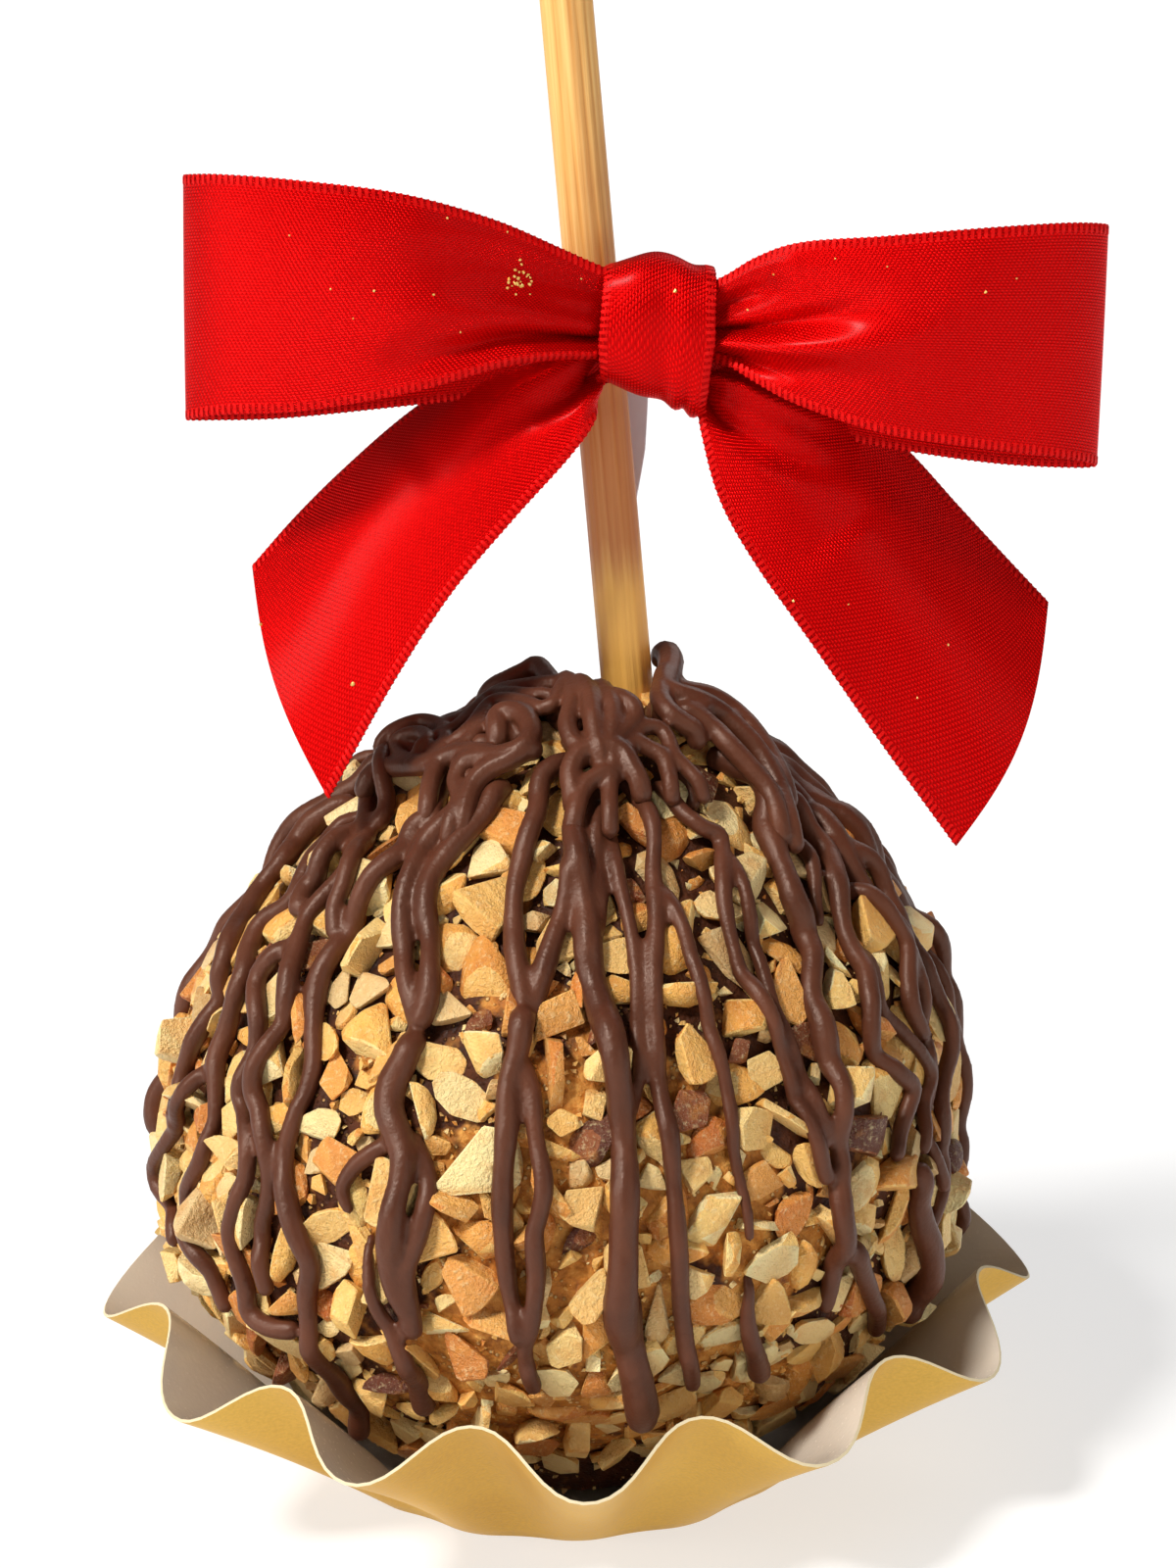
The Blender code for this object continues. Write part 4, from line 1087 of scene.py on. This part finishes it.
ribbon = {
    "width": 25.4, "thick": 0.30, "strips": 52,
    # rows of (upper or outer edge, lower or inner edge) along the ribbon
    "loopLeft": {
        "rows": (
            ((9.0, -8.6, 133.8), (9.0, -8.8, 126.8)), ((5.4, -9.6, 135.4), (5.0, -9.8, 125.9)),
            ((1.2, -10.8, 137.5), (1.2, -11.2, 126.1)),
            ((-5.5, -13.0, 140.8), (-4.5, -13.4, 125.8)), ((-14.5, -15.2, 143.8), (-13.5, -15.6, 123.7)),
            ((-25.0, -14.9, 145.3), (-24.5, -15.0, 121.9)), ((-32.6, -12.4, 145.7), (-33.0, -12.4, 121.2)),
            ((-36.5, -8.9, 145.3), (-37.4, -8.9, 120.1)), ((-34.7, -6.9, 144.8), (-35.2, -6.9, 119.6)),
            ((-28.0, -5.6, 143.9), (-27.5, -5.5, 119.4)), ((-15.5, -5.0, 142.2), (-15.0, -5.0, 120.3)),
            ((-4.0, -5.5, 138.2), (-4.0, -5.5, 121.4)), ((5.0, -6.6, 133.6), (5.0, -6.6, 122.2)),
            ((9.0, -7.4, 132.0), (9.0, -7.4, 124.0))),
        "steps": 190, "side": 1,
        # along and across at the start, the same at the end, half width at each, how far out of the cloth
        "folds": (
            (0.045, 0.80, 0.27, 0.84, 0.035, 0.09, -1.5), (0.045, 0.95, 0.22, 0.97, 0.07, 0.08, 1.1),
            (0.045, 0.66, 0.30, 0.62, 0.08, 0.16, 0.7), (0.045, 0.30, 0.20, 0.36, 0.10, 0.20, -0.8),
            (0.10, 0.10, 0.34, 0.16, 0.12, 0.16, 0.5), (0.80, 0.5, 0.97, 0.5, 0.12, 0.08, 1.0)),
        "swell": 0.9,
    },
    "loopRight": {
        "rows": (
            ((14.0, -8.6, 132.0), (14.0, -8.8, 125.8)), ((18.4, -9.6, 133.8), (18.4, -9.8, 124.8)),
            ((22.0, -10.9, 136.0), (21.8, -11.3, 123.0)),
            ((26.5, -13.0, 137.7), (26.0, -13.2, 121.0)), ((34.5, -15.0, 138.4), (34.5, -15.2, 118.3)),
            ((44.5, -15.0, 139.0), (43.8, -15.0, 116.6)), ((53.4, -12.5, 139.0), (52.6, -12.6, 114.9)),
            ((57.8, -9.2, 138.3), (56.9, -9.2, 113.4)), ((56.0, -7.3, 137.6), (55.2, -7.2, 112.7)),
            ((47.0, -5.9, 136.6), (46.5, -5.8, 113.1)), ((35.0, -5.3, 135.5), (35.0, -5.3, 115.0)),
            ((25.0, -5.5, 134.2), (25.0, -5.5, 117.6)), ((18.4, -6.6, 132.6), (18.4, -6.6, 120.6)),
            ((14.0, -7.4, 131.0), (14.0, -7.4, 123.0))),
        "steps": 190, "side": -1,
        "folds": (
            (0.045, 0.60, 0.23, 0.37, 0.045, 0.09, -1.7), (0.05, 0.74, 0.30, 0.47, 0.06, 0.12, 1.3),
            (0.045, 0.90, 0.14, 0.82, 0.06, 0.07, -1.2), (0.045, 0.32, 0.11, 0.25, 0.11, 0.12, -0.9),
            (0.05, 0.12, 0.20, 0.12, 0.10, 0.14, 0.6), (0.80, 0.5, 0.97, 0.5, 0.12, 0.08, 1.0)),
        "swell": 0.8,
    },
    "tailLeft": {
        "rows": (
            ((8.0, -6.5, 129.0), (8.0, -7.0, 123.6)),
            ((5.0, -5.5, 128.6), (5.0, -6.6, 121.8)), ((0.0, -4.3, 127.2), (4.9, -9.2, 119.2)),
            ((-7.0, -3.0, 124.0), (2.2, -11.2, 115.7)), ((-14.6, -1.8, 119.0), (-3.8, -12.6, 109.5)),
            ((-21.6, -0.6, 113.0), (-10.4, -13.3, 102.0)), ((-27.2, 0.0, 107.6), (-16.8, -14.0, 92.6)),
            ((-32.0, 0.0, 102.4), (-23.9, -14.4, 80.4))),
        "steps": 110, "side": 1, "cup": 2.4, "cutBow": 0.6,
        "folds": ((0.04, 0.84, 0.22, 0.86, 0.05, 0.10, 1.0), (0.04, 0.66, 0.32, 0.62, 0.06, 0.12, -1.1),
                  (0.05, 0.44, 0.36, 0.42, 0.08, 0.14, 1.0), (0.06, 0.24, 0.30, 0.22, 0.08, 0.12, -0.6),
                  (0.5, 0.35, 0.95, 0.5, 0.2, 0.3, 0.35)),
    },
    "tailRight": {
        "rows": (
            ((15.0, -6.6, 126.0), (15.0, -7.2, 122.0)),
            ((19.2, -5.6, 125.0), (15.6, -6.9, 121.4)), ((24.6, -4.5, 124.6), (16.0, -9.2, 117.2)),
            ((31.4, -3.0, 119.6), (17.8, -11.0, 110.6)), ((37.6, -2.0, 114.2), (21.4, -12.0, 104.0)),
            ((43.4, -1.5, 107.6), (27.0, -12.8, 95.8)), ((48.6, -1.6, 101.8), (34.2, -13.2, 85.0)),
            ((53.0, -1.8, 97.0), (42.2, -13.2, 73.4))),
        "steps": 110, "side": -1, "cup": 2.4, "cutBow": 1.8,
        "folds": ((0.05, 0.60, 0.30, 0.16, 0.08, 0.10, 1.6), (0.08, 0.82, 0.38, 0.40, 0.07, 0.12, -1.5),
                  (0.06, 0.97, 0.24, 0.86, 0.08, 0.10, 0.6), (0.5, 0.55, 0.95, 0.45, 0.25, 0.3, 0.5)),
    },
    "rung": {"pitch": 0.70, "wide": 0.36, "reach": 1.0, "over": 0.08, "proud": 0.06},
}

knot = {
    "x": (5.5, 17.9), "centre": (-7.8, 127.6), "halfDepth": 4.15, "halfHeight": 7.9, "square": 2.6,
    "around": 150, "strips": 30, "thick": 0.35,
}


def ribbonRows(rows, steps):
    upper = np.array([pair[0] for pair in rows], float)
    lower = np.array([pair[1] for pair in rows], float)
    both = np.hstack([(upper + lower) / 2, upper, lower])  # stepped by the middle line
    fine = curvePath(both, 0.05)
    pick = np.linspace(0, len(fine) - 1, steps + 1)
    index = np.arange(len(fine))
    dense = np.stack([np.interp(pick, index, fine[:, k]) for k in range(9)], axis=1)
    length = np.linalg.norm(np.diff(dense[:, :3], axis=0), axis=1).sum()
    return dense[:, 3:6], dense[:, 6:9], length


def foldLift(along, across, folds):
    lift = np.zeros_like(along)
    for a0, c0, a1, c1, w0, w1, depth in folds:
        t = np.clip((along - a0) / (a1 - a0), 0, 1)
        middle = c0 + (c1 - c0) * t
        width = w0 + (w1 - w0) * t
        before = smoothStep(along, a0 - 0.05, a0 + 0.01)
        fade = 1 - smoothStep(along, a0 + (a1 - a0) * 0.35, a1 + 0.04)
        if a0 > 0.75:
            fade = 1 - smoothStep(along, a1 - 0.02, a1 + 0.03)
            before = smoothStep(along, a0, a1)
        lift += depth * before * fade * np.exp(-((across - middle) / width) ** 2)
    return lift


def ribbonGrid(part):
    upper, lower, length = ribbonRows(part["rows"], part["steps"])
    strips = ribbon["strips"]
    across = np.linspace(0, 1, strips + 1)
    grid = upper[:, None, :] * (1 - across)[None, :, None] + lower[:, None, :] * across[None, :, None]
    along = np.linspace(0, 1, part["steps"] + 1)[:, None] * np.ones_like(across)[None, :]
    sides = across[None, :] * np.ones_like(along)

    def normals():
        way = np.cross(np.gradient(grid, axis=0), np.gradient(grid, axis=1))
        return way / np.linalg.norm(way, axis=2, keepdims=True) * part["side"]

    run = np.gradient(grid, axis=0)
    run = run / np.linalg.norm(run, axis=2, keepdims=True)
    lift = foldLift(along, sides, part["folds"])
    lift = lift + part.get("cup", 0.0) * np.sin(np.pi * sides) * np.clip(along * 4, 0, 1)
    lift = lift + part.get("swell", 0.0) * np.sin(np.pi * sides) * np.abs(np.sin(2 * np.pi * np.clip(along, 0, 1)))
    grid = grid + normals() * lift[:, :, None]
    nearCut = np.clip(along * 5 - 4, 0, 1)
    grid = grid + run * (part.get("cutBow", 0.0) * nearCut * np.sin(np.pi * sides))[:, :, None]
    return grid, normals(), length


def satin(name, width):
    paint = Finish(name)
    split = paint.add("ShaderNodeSeparateXYZ")
    paint.join(paint.where.outputs["UV"], split.inputs["Vector"])
    along = split.outputs["X"]
    across = split.outputs["Y"]
    # floats of the satin weave: short bright stitches, each row set half a stitch along
    row = paint.sum("MULTIPLY", across, 3.0)
    shift = paint.sum("MULTIPLY", paint.sum("FLOOR", row), 0.36)
    stitch = paint.sum("SINE", paint.sum("MULTIPLY", paint.sum("ADD", paint.sum("MULTIPLY", along, 2.2), shift), 6.283))
    thread = paint.sum("SINE", paint.sum("MULTIPLY", row, 6.283))
    weave = paint.sum("MULTIPLY", paint.sum("ADD", stitch, 1.0), paint.sum("ADD", thread, 1.0))
    broad = paint.noise(45.0, 2.0)
    deep = paint.ramp(broad, [(0.3, (0.47, 0.0003, 0.0005)), (0.7, (0.56, 0.0006, 0.0008))])
    woven = paint.mix(paint.span(weave, 0.4, 3.6, 0.0, 1.0), deep, (1.0, 0.003, 0.003))
    # painted shade: the cloth under the edge stitches is darkened, as the shade that falls between and under them
    fromMiddle = paint.sum("ABSOLUTE", paint.sum("SUBTRACT", across, width / 2))
    fromHem = paint.sum("SUBTRACT", width / 2, fromMiddle)
    paint.colour(paint.mix(paint.span(fromHem, 0.95, 0.75, 0.0, 0.4), woven, (0.20, 0.0002, 0.0003)))
    paint.roughness(paint.span(weave, 0.0, 4.0, 0.34, 0.27))
    paint.fixed(Metallic=0.75, Specular_IOR_Level=0.5, Specular_Tint=(1.0, 0.12, 0.12, 1.0), Coat_Weight=0.05,
                Coat_Roughness=0.22, Anisotropic=0.4, Anisotropic_Rotation=0.25)
    lengthwise = paint.add("ShaderNodeTangent", direction_type="UV_MAP", uv_map="cloth")
    paint.join(lengthwise.outputs["Tangent"], paint.shader.inputs["Tangent"])
    paint.relief(weave, 0.000021)
    return paint.material


def selvedge():
    paint = Finish("ribbon_edge_thread")
    fine = paint.noise(2200.0, 2.0)
    paint.colour(paint.ramp(fine, [(0.3, (0.60, 0.002, 0.002)), (0.7, (0.80, 0.008, 0.007))]))
    paint.roughness(0.45)
    paint.fixed(Metallic=0.35, Specular_IOR_Level=0.5, Specular_Tint=(1.0, 0.15, 0.15, 1.0))
    paint.relief(fine, 0.00003)
    return paint.material


def rungsAlong(edge, inward, normal, spacing):
    # small cross threads that stand a little proud of the cloth on both of its faces
    size = ribbon["rung"]
    run = np.r_[0, np.cumsum(np.linalg.norm(np.diff(edge, axis=0), axis=1))]
    points = []
    faces = []
    for at in np.arange(spacing / 2, run[-1], spacing):
        place = np.array([np.interp(at, run, edge[:, k]) for k in range(3)])
        into = np.array([np.interp(at, run, inward[:, k]) for k in range(3)])
        into /= np.linalg.norm(into)
        out = np.array([np.interp(at, run, normal[:, k]) for k in range(3)])
        out /= np.linalg.norm(out)
        side = np.cross(into, out)
        high = ribbon["thick"] / 2 + size["proud"]
        half = size["wide"] / 2
        base = len(points)
        for reach, tall, wide in ((-size["over"], high * 0.55, half * 0.8), (0.18, high, half),
                                  (size["reach"] - 0.2, high, half), (size["reach"], high * 0.7, half * 0.6)):
            for a, b in ((-1, -1), (1, -1), (1, 1), (-1, 1)):
                points.append(place + into * reach + side * wide * a + out * tall * b)
        for ring in range(3):
            for k in range(4):
                j = (k + 1) % 4
                faces.append((base + ring * 4 + k, base + ring * 4 + j, base + ring * 4 + 4 + j, base + ring * 4 + 4 + k))
        faces.append((base + 3, base + 2, base + 1, base))
        faces.append((base + 12, base + 13, base + 14, base + 15))
    return points, faces


def addRungs(store, grid, normal, spacing=None):
    spacing = spacing or ribbon["rung"]["pitch"]
    for column, inner in ((0, 2), (-1, -3)):
        edge = grid[:, column, :]
        points, faces = rungsAlong(edge, grid[:, inner, :] - edge, normal[:, column, :], spacing)
        base = len(store["points"])
        store["points"].extend(points)
        store["faces"].extend([tuple(base + k for k in face) for face in faces])


def clothFrom(name, grid, length, width=ribbon["width"]):
    rows, columns = grid.shape[0] - 1, grid.shape[1] - 1

    def place(u, v):
        i = np.rint(u * rows).astype(int)
        j = np.rint(v * columns).astype(int)
        return grid[i, j] * mm

    return wrapGrid(name, rows, columns, place, (length, width))


def knotGrid():
    around = np.linspace(0, 2 * np.pi, knot["around"] + 1)[:, None]
    across = np.linspace(0, 1, knot["strips"] + 1)[None, :]
    x = knot["x"][0] + (knot["x"][1] - knot["x"][0]) * across + 0 * around
    c = np.cos(around + np.pi / 2)
    s = np.sin(around + np.pi / 2)
    power = 2 / knot["square"]
    y = np.sign(c) * np.abs(c) ** power
    z = np.sign(s) * np.abs(s) ** power
    front = np.clip(-y, 0, 1)
    top = np.clip(z, 0, 1)
    under = np.clip(-z, 0, 1)
    swell = (0.35 * bump(x, 14.9, 1.3) * front - 0.42 * bump(x, 12.4, 1.5) * front
             + 0.35 * bump(x, 9.0, 2.2) * front + 0.45 * bump(x, 11.6, 2.4) * top - 0.3 * bump(x, 15.6, 1.3) * top
             + under * (0.5 * bump(x, 14.0, 0.9) + 0.55 * bump(x, 16.4, 0.8) - 0.3 * bump(x, 15.2, 0.6)
                        - 0.35 * bump(x, 8.5, 3.0)))
    flare = 0.25 * bump(across, 1.0, 0.12) + 0.1 * bump(across, 0.0, 0.10)
    grow = swell + flare - 0.7 * np.abs(2 * across - 1) ** 3.5
    lifted = 3.7 * (1 - across) ** 1.3 + 0.6 * bump(across, 0.62, 0.2)  # the lower edge slants down to the right
    fallen = 0.9 * bump(across, 1.0, 0.35) + 0.5 * bump(across, 0.0, 0.3)
    height = np.where(z < 0, knot["halfHeight"] + 0.5 - lifted, knot["halfHeight"] + 0.3 - fallen)
    drawn = np.where(z < 0, 1.2 * across ** 2, 0.3 * across ** 2 - 0.9 * (1 - across) ** 2) * np.abs(z) + 0.4 * across ** 2
    grid = np.stack([x + 0.4 * z * (across - 0.3) - drawn + 0.12 * np.sin(3 * around) * across,
                     knot["centre"][0] + (knot["halfDepth"] + grow * 0.8) * y,
                     knot["centre"][1] + (height + grow) * z], axis=2)
    way = np.cross(np.gradient(grid, axis=0), np.gradient(grid, axis=1))
    way[0] = way[-1] = (way[0] + way[-1]) / 2
    normal = way / np.linalg.norm(way, axis=2, keepdims=True)
    middle = np.array([0.0, knot["centre"][0], knot["centre"][1]])
    outside = np.sign(np.sum(normal * (grid - middle) * np.array([0, 1, 1]), axis=2, keepdims=True).mean())
    return grid, normal * outside


def makeBow():
    knotWide = knot["x"][1] - knot["x"][0]
    edging = {"points": [], "faces": []}
    pieces = []
    for name in ("loopLeft", "loopRight", "tailLeft", "tailRight"):
        grid, normal, length = ribbonGrid(ribbon[name])
        pieces.append(clothFrom(name, grid, length))
        addRungs(edging, grid, normal)
        pieces[-1]["length"] = length
    surfaces = {piece.name: piece for piece in pieces}
    deselectAll()
    for piece in pieces:
        piece.select_set(True)
    bpy.context.view_layer.objects.active = pieces[0]
    bpy.ops.object.join()
    bow = bpy.context.object
    bow.data.materials.clear()
    bow.data.materials.append(satin("red_satin_weave", ribbon["width"]))
    wall = bow.modifiers.new("cloth", "SOLIDIFY")
    wall.thickness = ribbon["thick"] * mm
    wall.offset = 0.0
    applyModifiers(bow)
    smoothBy(bow, 60)
    settle(bow, "bow_loops_and_tails")
    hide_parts("bow_ribbon")

    grid, normal = knotGrid()
    girth = np.linalg.norm(np.diff(grid[:, 0, :], axis=0), axis=1).sum()
    band = clothFrom("band", grid, girth, knotWide)
    closeSeams(band)
    band.data.materials.append(satin("red_satin_band", knotWide))
    wall = band.modifiers.new("cloth", "SOLIDIFY")
    wall.thickness = knot["thick"] * mm
    wall.offset = 0.0
    applyModifiers(band)
    smoothBy(band, 60)
    settle(band, "knot_band")
    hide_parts("bow_knot")
    knotEdging = {"points": [], "faces": []}
    addRungs(knotEdging, grid, normal)

    for name, store in (("ribbon_edging", edging), ("knot_edging", knotEdging)):
        points = (np.array(store["points"]) * mm).tolist()
        piece = meshFrom(name, points, store["faces"])
        piece.data.materials.append(selvedge())
        closeSeams(piece, 0.0000001)
        smoothBy(piece, 50)
        settle(piece, name)
    specks = makeSpecks([bow, band])


# gold specks on the ribbon

specks = {
    "seed": 3,
    # x and z of each speck, and its size
    "single": ((13.4, 132.8, 0.45), (10.0, 107.8, 0.3), (-21.0, 92.4, 0.5), (-31.0, 97.2, 0.4), (19.4, 105.0, 0.45),
               (25.2, 100.2, 0.3), (44.8, 132.6, 0.35), (-21.6, 134.4, 0.25), (-17.2, 134.2, 0.3), (-11.2, 133.6, 0.3),
               (-8.6, 129.6, 0.25), (-9.6, 141.2, 0.25), (-25.6, 139.8, 0.22), (3.8, 134.0, 0.22), (23.4, 134.4, 0.25),
               (20.8, 130.6, 0.28), (29.6, 136.2, 0.22), (34.8, 135.4, 0.2), (41.6, 94.6, 0.25), (38.2, 89.4, 0.22),
               (31.0, 99.6, 0.2), (48.0, 133.8, 0.2), (-3.6, 139.4, 0.22), (-19.4, 131.4, 0.2)),
    "cluster": {"middle": (-2.6, 134.4), "spread": 0.62, "count": 26, "size": (0.22, 0.42)},
}


def goldGrit():
    paint = Finish("gold_grit")
    fine = paint.noise(3000.0, 2.0)
    paint.colour(paint.ramp(fine, [(0.35, linear(206, 150, 50)), (0.65, linear(250, 220, 130))]))
    paint.roughness(0.35)
    paint.fixed(Metallic=0.5)
    paint.relief(fine, 0.00003)
    return paint.material


def makeSpecks(cloths):
    surface = surfaceUnder(cloths)
    rng = random.Random(specks["seed"])
    group = specks["cluster"]
    wanted = list(specks["single"])
    for k in range(group["count"]):
        wanted.append((group["middle"][0] + rng.gauss(0, group["spread"]), group["middle"][1] + rng.gauss(0, group["spread"]),
                       rng.uniform(*group["size"])))
    deselectAll()
    bpy.ops.mesh.primitive_ico_sphere_add(subdivisions=1, radius=0.5)
    grit = bpy.context.object
    shape = np.array([v.co for v in grit.data.vertices])
    sides = np.array([p.vertices for p in grit.data.polygons])
    bpy.data.objects.remove(grit, do_unlink=True)
    points = []
    faces = []
    for x, z, size in wanted:
        hit = surface.ray_cast(Vector((x, -40.0, z)), Vector((0, 1, 0)), 60.0)
        if not hit[0]:
            continue
        rough = 1 + np.array([rng.uniform(-0.25, 0.25) for k in range(len(shape))])[:, None]
        own = shape * rough * size * np.array([1, 0.6, 1]) + np.array(hit[0]) - np.array([0, size * 0.2, 0])
        faces.append(sides + len(points))
        points.extend(own.tolist())
    piece = meshFrom("gold_specks", (np.array(points) * mm).tolist(), np.vstack(faces).tolist())
    piece.data.materials.append(goldGrit())
    smoothBy(piece, 30)
    settle(piece, "gold_specks")
    print("gold specks", len(faces))
    return piece


# twist tie

tie = {
    "wide": 4.0, "thick": 0.35, "height": 126.2,
    "turn": ((10.9, -3.2), (10.6, -0.6), (9.3, 2.2), (5.6, 3.9), (2.1, 2.5), (1.0, -0.4), (0.9, -3.0)),
    "tail": ((8.6, 3.3, 127.4), (8.9, 3.9, 121.5), (8.5, 4.1, 112.0), (7.8, 3.9, 104.0)),
}


def tiePlastic():
    paint = Finish("milky_strip")
    broad = paint.noise(120.0, 2.0)
    paint.colour(paint.ramp(broad, [(0.3, linear(205, 206, 212)), (0.7, linear(232, 232, 236))]))
    paint.roughness(paint.span(broad, 0.3, 0.7, 0.25, 0.4))
    paint.fixed(Subsurface_Weight=0.3, Subsurface_Radius=(0.002, 0.002, 0.002))
    paint.relief(broad, 0.0001)
    return paint.material


def makeTie():
    plastic = tiePlastic()
    turn = curvePath([(x, y, tie["height"]) for x, y in tie["turn"]], 0.4)
    tail = curvePath(tie["tail"], 0.5)
    half = tie["wide"] / 2
    grids = []
    rise = np.array([0, 0, 1.0])
    grids.append(np.stack([turn - rise * half, turn - rise * half * 0.3, turn + rise * half * 0.3, turn + rise * half], axis=1))
    narrow = np.interp(np.linspace(0, 1, len(tail)), (0, 0.6, 1), (1.0, 0.85, 0.28))[:, None]
    side = np.array([1.0, 0, 0]) * half * narrow
    fold = np.array([0, 0.25, 0])
    grids.append(np.stack([tail - side, tail - side * 0.3 + fold, tail + side * 0.3 + fold, tail + side], axis=1))
    pieces = []
    for k, grid in enumerate(grids):
        pieces.append(clothFrom("strip%d" % k, grid, 30.0))
    deselectAll()
    for piece in pieces:
        piece.select_set(True)
    bpy.context.view_layer.objects.active = pieces[0]
    bpy.ops.object.join()
    strip = bpy.context.object
    strip.data.materials.clear()
    strip.data.materials.append(plastic)
    wall = strip.modifiers.new("film", "SOLIDIFY")
    wall.thickness = tie["thick"] * mm
    wall.offset = 0.0
    applyModifiers(strip)
    smoothBy(strip, 45)
    settle(strip, "tie_strip")
    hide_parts("twist_tie")
    print("twist tie")


makeCamera()
makeStudio()
makeCup()
coat = makeCore()
nutPieces = makeNuts(coat)
makeStick()
makeChocolate([coat] + nutPieces[:3])
makeBow()
makeTie()
